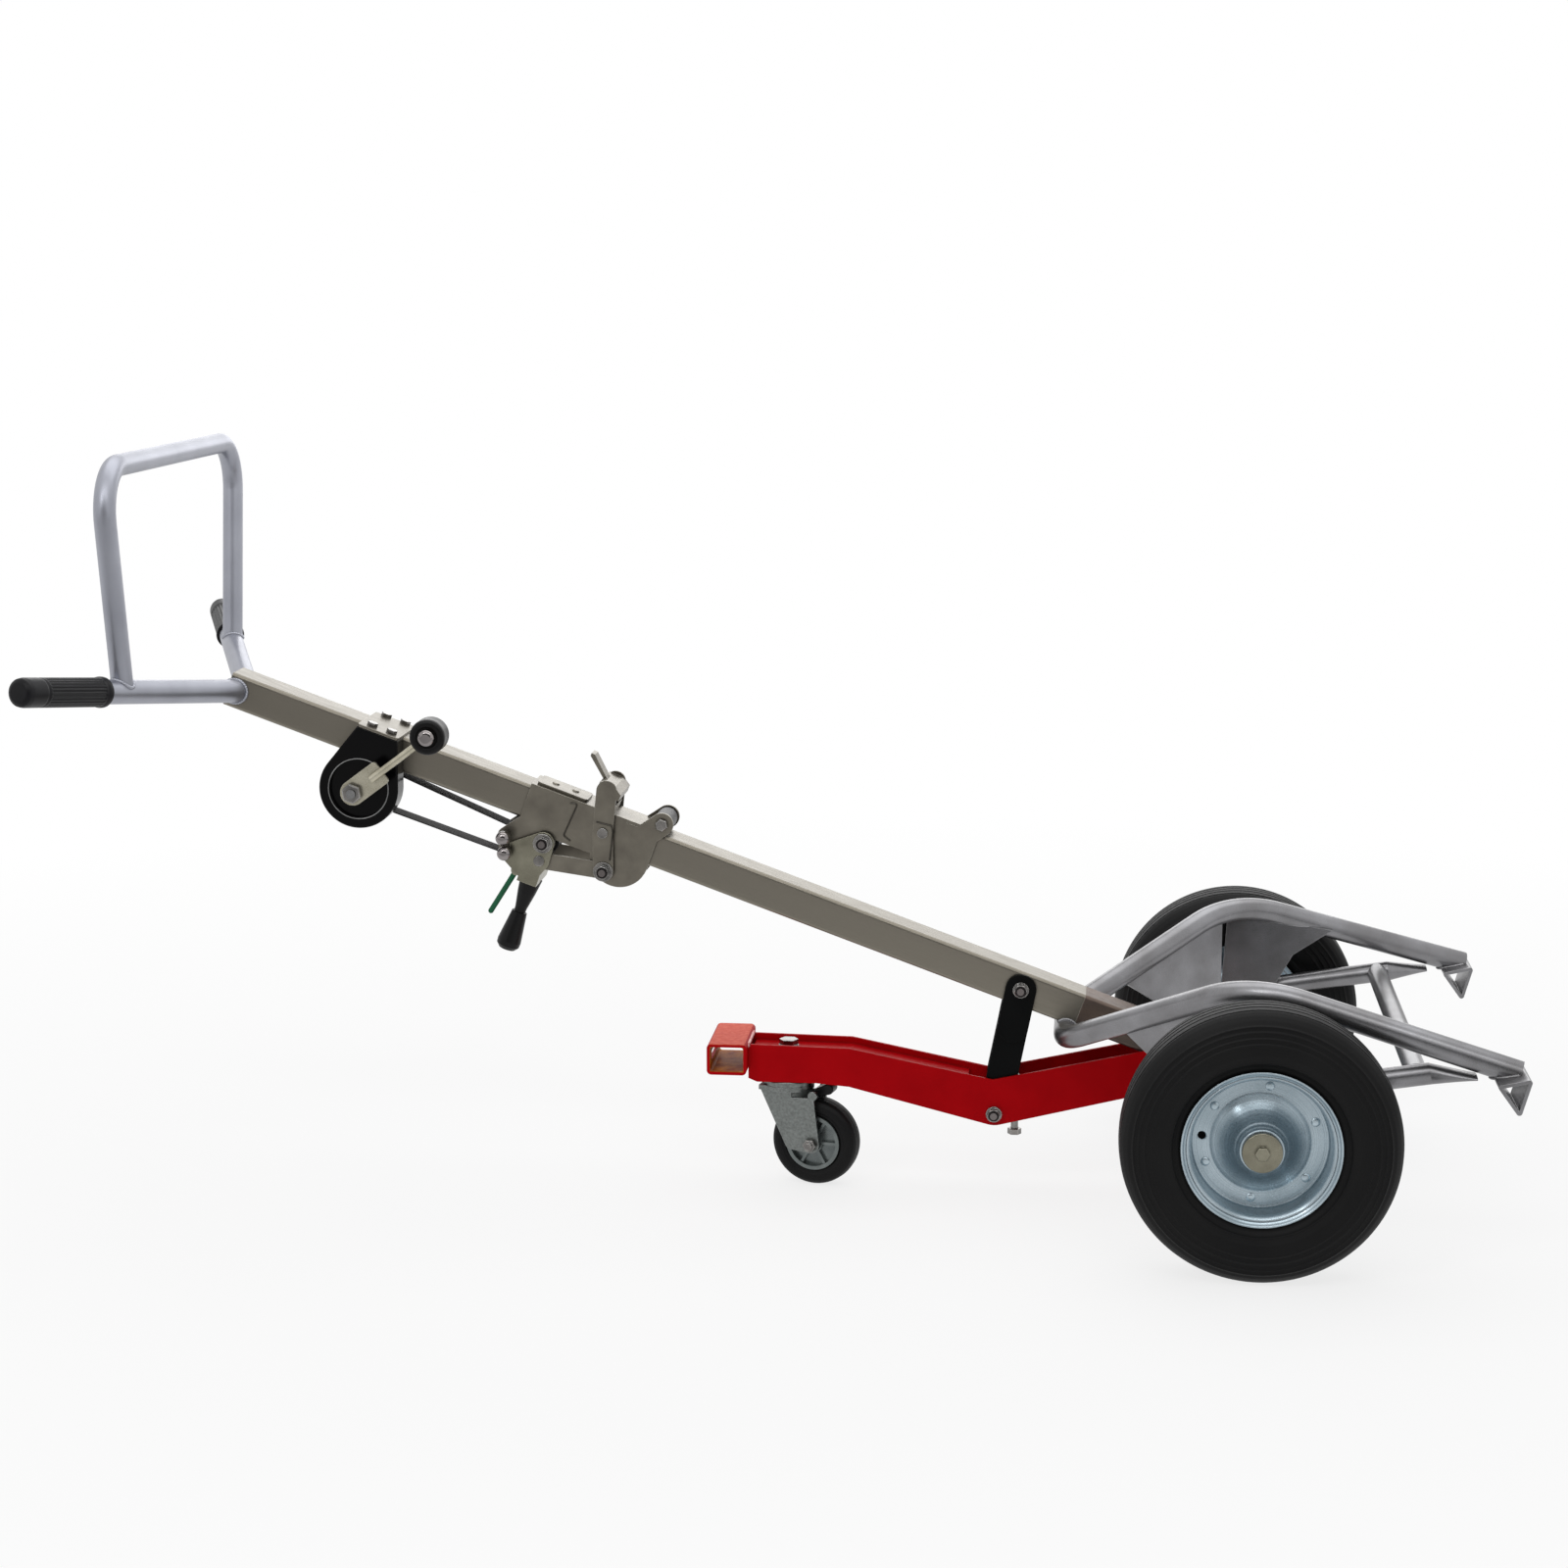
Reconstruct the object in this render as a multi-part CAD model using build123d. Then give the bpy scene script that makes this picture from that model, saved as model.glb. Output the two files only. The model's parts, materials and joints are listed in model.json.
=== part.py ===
from build123d import *
import os
from math import asin, atan2, cos, hypot, pi, radians, sin, tan

os.makedirs("parts", exist_ok=True)

# Driving dimensions, in millimetres and degrees.
# Mast: rectangular tube leaning back from the axle, measured from its upper end along its top face.
MAST_LENGTH = 1200.0
MAST_TILT = 20.0
MAST_WIDTH = 46.0
MAST_DEPTH = 37.0
MAST_WALL = 3.0
MAST_CORNER = 4.0
MAST_TAIL = 30.1
SHOE_LENGTH = 220.0
AXLE_DROP = 17.0
PLUG_THICKNESS = 4.0
PLUG_INSET = 0.6

# Wheels and axle; profiles are given as shares of a height and of a half width or depth.
WHEEL_DIAMETER = 278.0
WHEEL_WIDTH = 80.0
TRACK = 550.0
AXLE_DIAMETER = 20.0
HUB_DIAMETER = 36.0
HUB_LENGTH = 76.0
RIM_FLANGE_DIAMETER = 158.0
RIM_WELL_DIAMETER = 140.0
RIM_THICKNESS = 3.0
RIM_WIDTH = 64.0
RIM_FLANGE_ROOT = 4.0
RIM_FLANGE_STEP = 3.0
RIM_FLANGE_RISE = 1.0
BELL_DIAMETER = 100.0
BELL_DEPTH = 34.0
BELL_STEPS = ((1.0, 0.0), (0.5, 0.65), (0.31, 0.79), (0.16, 0.97), (0.0, 1.0))
RIVET_CIRCLE = 115.0
RIVET_DIAMETER = 8.8
RIVET_HEIGHT = 1.6
RIVET_START = 22.0
RIVET_COUNT = 6
VALVE_DIAMETER = 8.0
VALVE_ANGLE = 175.0
TYRE_FIT = 0.1
TYRE_BEAD_INSET = 6.0
TYRE_ROUND = 5.0
TYRE_SECTION = ((0.13, 0.69), (0.30, 0.925), (0.58, 1.0), (0.85, 0.85), (1.0, 0.5))
AXLE_WASHER_DIAMETER = 40.0
AXLE_WASHER_THICKNESS = 4.0
AXLE_BOLT_FLATS = 13.0
AXLE_BOLT_HEIGHT = 5.0
EDGE_CHAMFER = 0.8
RUNNING_CLEARANCE = 0.05
SIDE_CLEARANCE = 0.4

# Handle: two swept bars, grips and the upper loop.
HANDLE_TUBE = 25.0
HANDLE_WALL = 2.0
BAR_SWEEP = 21.2
BAR_APEX = 17.0
BAR_REACH = 354.3
GRIP_LENGTH = 130.0
GRIP_DIAMETER = 30.0
GRIP_COLLAR_DIAMETER = 32.0
GRIP_COLLAR_LENGTH = 7.0
GRIP_COLLAR_ROUND = 2.0
GRIP_END = 6.0
GRIP_CLEARANCE = 0.1
LOOP_TUBE = 22.5
LOOP_BASE_WIDTH = 404.0
LOOP_TOP_WIDTH = 480.0
LOOP_HEIGHT = 229.6
LOOP_LEAN = 3.0
LOOP_BEND = 48.0

# Cradle: one bent tube let into the underside of the mast, over the axle and down to the feet.
TUBE_DIAMETER = 25.0
TUBE_WALL = 2.5
CRADLE_FROM_AXLE = 196.5
CRADLE_NEST = 5.5
CRADLE_CROSS = 116.0
LEG_CLEARANCE = 18.5
LEG_RISE = 139.9
LEG_CORNER_X = -9.3
LEG_END_X = 254.0
LEG_END_RISE = 65.6
LEG_SPREAD = 34.0
CROSS_BEND = 45.0
LEG_BEND = 120.0
TUBE_END_PLUG = 4.0
FOOT_WIDTH = 66.0
FOOT_WALL = 3.5
FOOT_CORNER = 3.0
FOOT_BACK = (-27.0, -4.6)
FOOT_FRONT = (8.4, 3.2)
FOOT_TIP = (-3.1, -37.5)
GUSSET_THICKNESS = 5.0
GUSSET_START = 70.0
GUSSET_STOP = 16.0
GUSSET_FOOT = 24.0
GUSSET_BELOW = 6.0
AXLE_PLATE_THICKNESS = 6.0
AXLE_PLATE_INSET = 1.0
AXLE_PLATE_RADIUS = 22.0
AXLE_PLATE_BACK = (-14.0, -14.0)
AXLE_PLATE_FRONT = 104.0
AXLE_PLATE_WAIST = (60.0, -42.0)
AXLE_PLATE_TOE = (24.0, 12.0)
BRACE_DIAMETER = 22.0
BRACE_WALL = 2.0
BRACE_START_X = 5.0
BRACE_START_RISE = 32.5
BRACE_BEND_X = 168.0
BRACE_BEND_RISE = 58.5
BRACE_FLAT_X = 212.0
BRACE_FLAT_WIDTH = 27.0
BRACE_FLAT_HEIGHT = 5.0
CROSS_TUBE_X = 156.0

# Winch: two housing halves clamped to the mast, spool, crank and strap.
WINCH_S = 174.0
WINCH_DROP = 64.0
HOUSING_RADIUS = 43.0
HOUSING_THICKNESS = 28.0
HOUSING_ROUND = 2.0
HOUSING_TOP = (151.0, 197.0)
HOUSING_RECESS_RADIUS = 32.5
HOUSING_RECESS_DEPTH = 6.0
LEFT_HOUSING_RADIUS = 26.0
LEFT_HOUSING_THICKNESS = 10.0
ANCHOR_DIAMETER = 10.0
ANCHOR_CIRCLE = 33.0
ANCHOR_ANGLE = -26.0
CLAMP_THICKNESS = 3.0
CLAMP_CORNER = 4.0
CLAMP_BOLT_S = (164.0, 186.0)
CLAMP_BOLT_DIAMETER = 6.0
CLAMP_BOLT_DEPTH = 14.0
CLAMP_BOLT_FLATS = 10.0
CLAMP_HEAD_HEIGHT = 4.0
SHAFT_DIAMETER = 14.0
SHAFT_STEP = 2.0
SHAFT_END = 2.0
SPOOL_CORE_DIAMETER = 20.0
SPOOL_FLANGE_DIAMETER = 54.0
SPOOL_FLANGE = 2.5
STRAP_WIDTH = 26.0
STRAP_THICKNESS = 1.5
STRAP_GAP = 0.45
STRAP_TURNS = 5
STRAP_TURN_STEPS = 24
STRAP_ARC_STEPS = 10
STRAP_SEAT = 0.3
CRANK_RADIUS = 112.5
CRANK_ANGLE = 56.7
CRANK_Y = -75.0
CRANK_PLATE_THICKNESS = 4.0
CRANK_PLATE_WIDTH = 27.0
CRANK_PLATE_REACH = 40.0
CRANK_PLATE_CORNER = 4.0
CRANK_ROD_DIAMETER = 8.0
CRANK_ROD_OVERLAP = 26.0
CRANK_ROD_BEND = 6.4
CRANK_NUT_FLATS = 19.0
CRANK_NUT_HEIGHT = 8.0
CRANK_NUT_CHAMFER = 1.2
KNOB_DIAMETER = 38.0
KNOB_LENGTH = 30.0
KNOB_STANDOFF = 8.0
KNOB_ROUND = 4.0
KNOB_CAP_DIAMETER = 18.0
KNOB_CAP_HEIGHT = 6.0
DOME_ROUND = 0.8

# Carriage on the mast, measured along the mast from its upper edge (CARRIAGE_S) and up from the top face.
CARRIAGE_S = 345.0
CARRIAGE_PLATE = 3.0
CARRIAGE_CLEARANCE = 0.4
CARRIAGE_TOP_LENGTH = 131.0
CARRIAGE_WALL_LENGTH = 110.0
CARRIAGE_SKIRT = 46.0
CARRIAGE_LOBE = (115.7, -39.7)
CARRIAGE_LOBE_RADIUS = 31.8
CARRIAGE_TAIL = (8.0, -38.0)
CARRIAGE_TAIL_RADIUS = 8.0
CARRIAGE_EAR_RADIUS = 12.5
CARRIAGE_EAR_DROP = 8.0
ROLLER_GAP = 0.3
LOWER_ROLLER = (33.5, 15.2)
UPPER_ROLLER = (146.4, 11.0)
ROLLER_LENGTH = 40.0
STRAP_PIN_UPPER = (-7.7, -60.4)
STRAP_PIN_LOWER = (-1.0, -75.5)
STRAP_ROLLER_RADIUS = 6.5
STRAP_PIN_DIAMETER = 8.0
STRAP_PIN_REACH = 43.0
SLEEVE_WALL = 2.0
PIN_EDGE = 2.5
DOME_NUT_RADIUS = 7.8
DOME_NUT_HEIGHT = 8.0
LEVER_BOLT_DIAMETER = 8.0
LEVER_BOLT_EDGE = 12.0
ROLLER_BOLT_DIAMETER = 8.0
ROLLER_BOLT_FLATS = 12.0
ROLLER_BOLT_HEAD = 5.0
NUT_FLATS = 13.0
NUT_HEIGHT = 6.0
BOLT_END = 2.0
SPACER_EDGE = 3.0
WASHER_EDGE = 6.5
WASHER_THICKNESS = 2.0
WASHER_GAP = 0.3
SHOULDER_GAP = 0.2
LEVER_PIN = (35.9, -72.5)
LEVER_PIN_EDGE = 11.0
PIN_HEAD_EDGE = 2.0
PIN_HEAD_HEIGHT = 1.2
LATCH_HEADING = (-0.55, 0.83)
LATCH_EDGE = 8.0
LATCH_FIT = 0.5
LATCH_MOUTH = 14.0
LATCH_FLARE = 3.0
LINK_PIN = (104.8, -58.2)
LINK_EDGE = 9.0
LINK_GAP = 0.6
LINK_THICKNESS = 2.6
LINK_SLOT = 0.6
LINK_FIT = 0.6
PIN_FIT = 0.1
ARM_GAP = 0.6
ARM_THICKNESS = 3.0
HOOK_PIVOT = (90.3, -18.8)
HOOK_HEAD_EDGE = 1.5
HOOK_TOP = (79.0, 26.0)
HOOK_EDGE = 11.0
HOOK_CLAW = ((-10.0, 0.0), (-10.0, 7.0), (7.0, 7.0), (16.0, 1.0), (16.0, -6.0), (12.0, -6.0), (9.0, 0.0))
HOOK_TAB = ((-7.0, 4.0), (-5.0, 7.0), (-27.0, 28.0), (-31.0, 28.0), (-31.0, 25.0))
HOOK_TAB_WIDTH = 20.0
PAD_LENGTH = 57.0
PAD_START = 5.0
PAD_WIDTH = 40.0
PAD_THICKNESS = 3.0
PAD_CORNER = 4.0
PAD_RIVETS = (0.3, 0.7)
PAD_RIVET_RADIUS = 4.0
PAD_RIVET_HEIGHT = 1.5
LEDGE_S = 89.0
LEDGE_HEIGHT = 7.6
LEDGE_THICKNESS = 4.0
LEVER_HANDLE_S = 31.0
LEVER_BLOCK = (22.0, 14.0)
LEVER_BLOCK_H = -94.0
HANDLE_TIP_H = -185.0
HANDLE_PROFILE = (
    (12.3, 0.0), (10.0, 0.2), (6.6, 0.42), (6.3, 0.47), (8.4, 0.48), (13.0, 0.89), (12.6, 0.95), (9.0, 1.0),
)
RELEASE_PIVOT = (13.0, -98.0)
RELEASE_TIP = (1.2, -152.0)
RELEASE_DIAMETER = 6.0
RELEASE_BOSS = 5.0
RELEASE_PIN_DIAMETER = 5.0
LUG_RADIUS = 5.5
LUG_SPAN = (4.0, 7.0)
WIRE_DIAMETER = 1.6
WIRE_BEND = 2.5
ROOF_WIRE = ((46.0, -2.0), (54.0, 1.0), (51.0, -38.0), (60.0, -41.0))
HOOK_SPRING = ((80.0, -9.5), (97.0, -7.5), (100.5, -14.0), (107.5, -44.0))

# Support arm, strut and caster; forward positions are measured from the axle.
STRUT_FROM_AXLE = 257.0
ARM_BOLT_FROM_AXLE = 45.7
FRAME_BOLT_DIAMETER = 8.0
FRAME_WASHER_EDGE = 4.5
ARM_FIT = 0.3
ARM_WALL = 3.5
ARM_END_RADIUS = 22.0
KNEE_X = -269.2
KNEE_Z = 100.1
KNEE_RADIUS = 25.0
KNEE_BOLT_DROP = 12.6
ARM_FRONT_X = -535.0
ARM_BREAK_X = -425.6
ARM_FRONT_HEIGHT = 41.3
ARM_BREAK_HEIGHT = 39.4
ARM_WEB_DROP = 7.0
ARM_TOE = 4.0
ARM_HEEL = 8.0
REAR_WEB_SPAN = (12.0, 150.0)
REAR_WEB_DROP = (23.0, 21.0)
PEDAL_DEPTH = 43.0
PEDAL_HEIGHT = 34.0
PEDAL_WIDTH = 92.0
PEDAL_WALL = 3.5
PEDAL_CORNER = 5.0
PEDAL_SLOT = (60.0, 10.0)
PEDAL_RISE = 4.5
STRUT_PLATE = 4.0
STRUT_FIT = 0.5
STRUT_RADIUS = 16.5
STRUT_FOOT_RADIUS = 12.0
STRUT_JOG = 0.3
STRUT_JOG_RADIUS = 8.0
STRUT_WAIST = 0.72
STRUT_WEB_INSET = 1.0
STOP_BOLT_X = -247.5
STOP_BOLT_DIAMETER = 8.0
STOP_BOLT_BOTTOM = 65.0
STOP_BOLT_TOP = 122.0
STOP_CAP_RADIUS = 7.0
STOP_CAP_HEIGHT = 8.0
CASTER_X = -493.5
CASTER_TURN = -13.0
CASTER_TOP = 116.5
CASTER_TRAIL = 32.0
CASTER_DIAMETER = 96.0
CASTER_WIDTH = 30.0
CASTER_TYRE_ROUND = 6.0
CASTER_RIM_DIAMETER = 60.0
CASTER_RIM_EDGE = 4.0
CASTER_RECESS = 7.0
CASTER_HUB_RADIUS = 11.0
CASTER_RIBS = 6
CASTER_RIB = 3.0
CASTER_RIB_INSET = 2.0
CASTER_HEAD_HEIGHT = 6.0
CASTER_HEAD_DIAMETER = 56.0
CASTER_SEAT_EDGE = 4.0
CASTER_GAP = 0.3
CASTER_CROWN = 5.0
CASTER_LEG = 3.5
CASTER_LEG_GAP = 4.0
FORK_FRONT = -27.0
FORK_BACK = 34.0
FORK_NOTCH = (10.0, 11.0)
FORK_EYE = 9.5
FORK_TOE = 22.0
FORK_TOE_RADIUS = 7.0
CASTER_BOLT_DIAMETER = 12.0
CASTER_NUT_FLATS = 18.0
CASTER_NUT_HEIGHT = 6.0
CASTER_WASHER_EDGE = 5.0
CASTER_AXLE_DIAMETER = 8.0
BRAKE_PIN_DIAMETER = 5.0
BRAKE_PIN_BACK = -2.0
BRAKE_PIN_DROP = 8.0
BRAKE_EYE = 4.5
BRAKE_REACH = 13.0
BRAKE_RISE = 5.0
BRAKE_PAD_RADIUS = 6.0
BRAKE_WIDTH = 16.0
BRAKE_ROUND = 1.5

# Positions worked out from the sizes above.
TILT_COS = cos(radians(MAST_TILT))
TILT_SIN = sin(radians(MAST_TILT))
AXLE_S = MAST_LENGTH - MAST_TAIL
AXLE_Z = WHEEL_DIAMETER / 2
MAST_X = AXLE_DROP * TILT_SIN - AXLE_S * TILT_COS
MAST_Z = AXLE_Z + AXLE_S * TILT_SIN + AXLE_DROP * TILT_COS
MAST = Plane((MAST_X, 0, MAST_Z), (TILT_COS, 0, -TILT_SIN), (TILT_SIN, 0, TILT_COS)).location
MAST_MID = -MAST_DEPTH / 2
MAST_SIDE = MAST_WIDTH / 2
SEAM_S = MAST_LENGTH - SHOE_LENGTH
WINCH_H = -WINCH_DROP


def mast_point(s, y, h):
    """Place of a point given along the mast, across it and above its top face."""
    return (MAST_X + s * TILT_COS + h * TILT_SIN, y, MAST_Z - s * TILT_SIN + h * TILT_COS)


TUBE_RADIUS = TUBE_DIAMETER / 2
LEG_Y = TRACK / 2 - WHEEL_WIDTH / 2 - LEG_CLEARANCE - TUBE_RADIUS
CROSS_X, _, CROSS_Z = mast_point(AXLE_S - CRADLE_FROM_AXLE, 0, CRADLE_NEST - MAST_DEPTH - TUBE_RADIUS)
LEG_CORNER = (LEG_CORNER_X, LEG_Y, AXLE_Z + LEG_RISE)
LEG_END = (LEG_END_X, LEG_Y + LEG_SPREAD, AXLE_Z + LEG_END_RISE)
PLATE_Y = LEG_Y - AXLE_PLATE_INSET
BRACE_Y = PLATE_Y + AXLE_PLATE_THICKNESS + BRACE_DIAMETER / 2
HUB_OUTER_Y = TRACK / 2 + HUB_LENGTH / 2
STRUT_X, _, STRUT_Z = mast_point(AXLE_S - STRUT_FROM_AXLE, 0, MAST_MID)
ARM_X, _, ARM_Z = mast_point(AXLE_S - ARM_BOLT_FROM_AXLE, 0, MAST_MID)
ARM_INSIDE = MAST_SIDE + ARM_FIT
ARM_OUTSIDE = ARM_INSIDE + ARM_WALL
STRUT_OUTSIDE = MAST_SIDE + ARM_FIT + STRUT_PLATE
KNEE_BOLT_Z = KNEE_Z - KNEE_BOLT_DROP
PEDAL_TOP = CASTER_TOP + ARM_FRONT_HEIGHT + PEDAL_RISE
HOUSING_Y = MAST_SIDE + ARM_FIT
THREAD_RADIUS = SHAFT_DIAMETER / 2 - SHAFT_STEP
STRAP_HALF = STRAP_WIDTH / 2
STRAP_PITCH = STRAP_THICKNESS + STRAP_GAP
WOUND_RADIUS = SPOOL_CORE_DIAMETER / 2 + STRAP_SEAT + STRAP_PITCH * STRAP_TURNS + STRAP_THICKNESS
ROD_Y = CRANK_Y - CRANK_PLATE_THICKNESS / 2 - CRANK_ROD_DIAMETER / 2
KNOB_Y = ROD_Y - KNOB_STANDOFF
CASTER_Z = CASTER_DIAMETER / 2
CASTER_AXLE_X = CASTER_X + CASTER_TRAIL
CASTER_SEAT = CASTER_HEAD_DIAMETER / 2 + CASTER_SEAT_EDGE
FORK_INSIDE = CASTER_WIDTH / 2 + CASTER_LEG_GAP
FORK_OUTSIDE = FORK_INSIDE + CASTER_LEG
FORK_TOP = CASTER_TOP - CASTER_HEAD_HEIGHT - CASTER_GAP
BRAKE_PIN = (CASTER_AXLE_X - BRAKE_PIN_BACK, FORK_TOP - BRAKE_PIN_DROP)
CARRIAGE_INSIDE = MAST_SIDE + CARRIAGE_CLEARANCE
CARRIAGE_OUTSIDE = CARRIAGE_INSIDE + CARRIAGE_PLATE
CARRIAGE_ROOF = CARRIAGE_CLEARANCE + CARRIAGE_PLATE
LINK_Y = CARRIAGE_OUTSIDE + LINK_GAP
ARM_Y = LINK_Y + LINK_THICKNESS + ARM_GAP
ARM_OUTER_Y = ARM_Y + ARM_THICKNESS
LEVER_BOLT = (LOWER_ROLLER[0], -MAST_DEPTH - ROLLER_GAP - LOWER_ROLLER[1])
ROLLER_BOLT = (UPPER_ROLLER[0], UPPER_ROLLER[1] + ROLLER_GAP)
BAR_END = BAR_REACH / cos(radians(BAR_SWEEP))


def plate(outline, y0, y1):
    """Extrude an outline drawn in x and z between two side positions."""
    return extrude(Plane.XZ.offset(-y1) * outline, amount=y1 - y0)


def cross_rod(x, z, radius, y0, y1):
    """Round bar lying across the truck."""
    return Pos(x, (y0 + y1) / 2, z) * Rot(90, 0, 0) * Cylinder(radius, y1 - y0)


def cross_hex(x, z, flats, y0, y1):
    """Hexagonal bar lying across the truck."""
    hexagon = RegularPolygon(flats / 2, 6, major_radius=False)
    return plate(Pos(x, z) * hexagon, y0, y1)


def upright_hex(x, y, flats, z0, z1):
    """Hexagonal bar standing upright."""
    hexagon = RegularPolygon(flats / 2, 6, major_radius=False)
    return Pos(x, y, z0) * extrude(hexagon, amount=z1 - z0)


def dome(x, z, radius, height, base_y, side):
    """Domed cap facing sideways from a base position."""
    body = cross_rod(x, z, radius, 0, height)
    body = fillet(body.edges().sort_by(Axis.Y)[-1], height * DOME_ROUND)
    body = Pos(0, abs(base_y), 0) * body
    return body if side > 0 else mirror(body, about=Plane.XZ)


def outline(*points):
    """Closed straight-sided outline."""
    return make_face(Polyline(*points, close=True))


def disc(x, z, radius):
    """Round outline about a point."""
    return Pos(x, z) * Circle(radius)


def hull(*shapes):
    """Outline stretched round several outlines."""
    edges = [edge for shape in shapes for edge in shape.edges()]
    return make_hull(edges)


def pair(part):
    """A piece and its mirror image on the other side of the truck."""
    return [part, mirror(part, about=Plane.XZ)]


def group(pieces):
    """Several separate pieces kept together."""
    return Compound([solid for piece in pieces for solid in piece.solids()])


def along(start, end, radius):
    """Round bar between two points."""
    direction = Vector(*end) - Vector(*start)
    frame = Plane(origin=start, z_dir=direction)
    return frame.location * Cylinder(radius, direction.length, align=(Align.CENTER, Align.CENTER, Align.MIN))


def swept(path, face):
    """Sweep a face along a path from its start."""
    return sweep(Plane(origin=path @ 0, z_dir=path % 0) * face, path=path)


def mast_block(s0, s1):
    """Solid block filling the outside of the mast, lying in the mast's own frame."""
    section = Pos(0, MAST_MID) * RectangleRounded(MAST_WIDTH, MAST_DEPTH, MAST_CORNER)
    return Pos(s0, 0, 0) * extrude(Plane.YZ * section, amount=s1 - s0)


def mast_hollow(s0, s1, inset):
    """Solid filling the inside of the mast less an inset."""
    width = MAST_WIDTH - 2 * MAST_WALL - 2 * inset
    depth = MAST_DEPTH - 2 * MAST_WALL - 2 * inset
    section = Pos(0, MAST_MID) * RectangleRounded(width, depth, MAST_CORNER / 2)
    return Pos(s0, 0, 0) * extrude(Plane.YZ * section, amount=s1 - s0)


def mast_tube():
    """Upper length of the mast with the hole for the strut bolt, notched underneath for the cradle."""
    tube = mast_block(0, SEAM_S) - mast_hollow(-1, SEAM_S + 1, 0)
    tube = MAST * tube - cross_rod(STRUT_X, STRUT_Z, FRAME_BOLT_DIAMETER / 2, -MAST_WIDTH, MAST_WIDTH)
    return tube - CRADLE_SOLID


def mast_shoe():
    """Lower length of the mast that carries the axle and the arm bolt."""
    tube = mast_block(SEAM_S, MAST_LENGTH) - mast_hollow(SEAM_S - 1, MAST_LENGTH + 1, 0)
    tube = MAST * tube - CRADLE_SOLID
    tube -= cross_rod(0, AXLE_Z, AXLE_DIAMETER / 2, -MAST_WIDTH, MAST_WIDTH)
    return tube - cross_rod(ARM_X, ARM_Z, FRAME_BOLT_DIAMETER / 2, -MAST_WIDTH, MAST_WIDTH)


def mast_plug():
    """Plate closing the upper end of the mast."""
    return MAST * mast_hollow(PLUG_INSET, PLUG_INSET + PLUG_THICKNESS, 0)


def bar_frame(side):
    """Frame along one handle bar, starting on the middle of the mast."""
    sweep_angle = radians(BAR_SWEEP)
    heading = (-sin(sweep_angle), side * cos(sweep_angle), 0)
    return Plane(origin=(BAR_APEX, 0, MAST_MID), z_dir=heading).location


def bar_rod(side, radius, start, end):
    """Round bar along one handle bar."""
    rod = Cylinder(radius, end - start, align=(Align.CENTER, Align.CENTER, Align.MIN))
    return MAST * (bar_frame(side) * (Pos(0, 0, start) * rod))


def handle_bar(side):
    """One tube of the handle, coped against the side of the mast."""
    end = BAR_END - GRIP_END
    tube = bar_rod(side, HANDLE_TUBE / 2, 0, end) - bar_rod(side, HANDLE_TUBE / 2 - HANDLE_WALL, -1, end + 1)
    return tube - MAST * mast_block(0, MAST_WIDTH * 2)


def grip(side):
    """Closed rubber sleeve over the end of one handle bar."""
    base = (Align.CENTER, Align.CENTER, Align.MIN)
    body = Cylinder(GRIP_DIAMETER / 2, GRIP_LENGTH, align=base)
    body = fillet(body.edges().sort_by(Axis.Z)[-1], GRIP_END)
    collar = Cylinder(GRIP_COLLAR_DIAMETER / 2, GRIP_COLLAR_LENGTH, align=base)
    body += fillet(collar.edges(), GRIP_COLLAR_ROUND)
    bore = Cylinder(HANDLE_TUBE / 2 + GRIP_CLEARANCE, GRIP_LENGTH - GRIP_END, align=base)
    body -= bore
    return MAST * (bar_frame(side) * (Pos(0, 0, BAR_END - GRIP_LENGTH) * body))


def loop_path():
    """Middle line of the handle loop."""
    half = LOOP_BASE_WIDTH / 2
    base_s = BAR_APEX - half * tan(radians(BAR_SWEEP))
    x, _, z = mast_point(base_s, 0, MAST_MID)
    top = (x - LOOP_LEAN, LOOP_TOP_WIDTH / 2, z + LOOP_HEIGHT)
    points = [(x, -half, z), (top[0], -top[1], top[2]), top, (x, half, z)]
    return FilletPolyline(*points, radius=LOOP_BEND)


def handle_loop():
    """Upper loop, its posts coped over the handle bars."""
    outer = LOOP_TUBE / 2
    loop = swept(loop_path(), Circle(outer) - Circle(outer - HANDLE_WALL))
    x, _, z = loop_path() @ 0
    size = 2 * HANDLE_TUBE
    for side in (-1, 1):
        loop -= bar_rod(side, HANDLE_TUBE / 2, 0, BAR_END)
        loop -= Pos(x, side * LOOP_BASE_WIDTH / 2, z - HANDLE_TUBE) * Box(size, size, size)
    return loop


def cradle_path():
    """Middle line of the cradle tube from the right foot to the left foot."""
    half = CRADLE_CROSS / 2
    left = [(CROSS_X, half, CROSS_Z), LEG_CORNER, LEG_END]
    right = [(x, -y, z) for x, y, z in reversed(left)]
    return FilletPolyline(*right, *left, radius=[LEG_BEND, CROSS_BEND, CROSS_BEND, LEG_BEND])


CRADLE_PATH = cradle_path()
CRADLE_SOLID = swept(CRADLE_PATH, Circle(TUBE_RADIUS))


def foot_points():
    """Back, front and tip of a foot seen from the side."""
    x, _, z = LEG_END
    return [(x + dx, z + dz) for dx, dz in (FOOT_BACK, FOOT_FRONT, FOOT_TIP)]


def foot_outline():
    """Rounded triangle of a foot seen from the side."""
    triangle = outline(*foot_points())
    return fillet(triangle.vertices(), FOOT_CORNER)


def foot_span():
    """Side positions of the left foot."""
    return LEG_END[1] - FOOT_WIDTH / 2, LEG_END[1] + FOOT_WIDTH / 2


def foot():
    """Left foot, a strip folded into a triangle and open at its ends."""
    ring = foot_outline() - offset(foot_outline(), amount=-FOOT_WALL)
    return plate(ring, *foot_span())


def under_foot():
    """Room under the upper limb of the left foot, where the leg tube is cut away."""
    back, front, tip = foot_points()
    low = tip[1] - TUBE_DIAMETER
    return plate(outline(back, front, (front[0], low), (back[0], low)), *foot_span())


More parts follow.
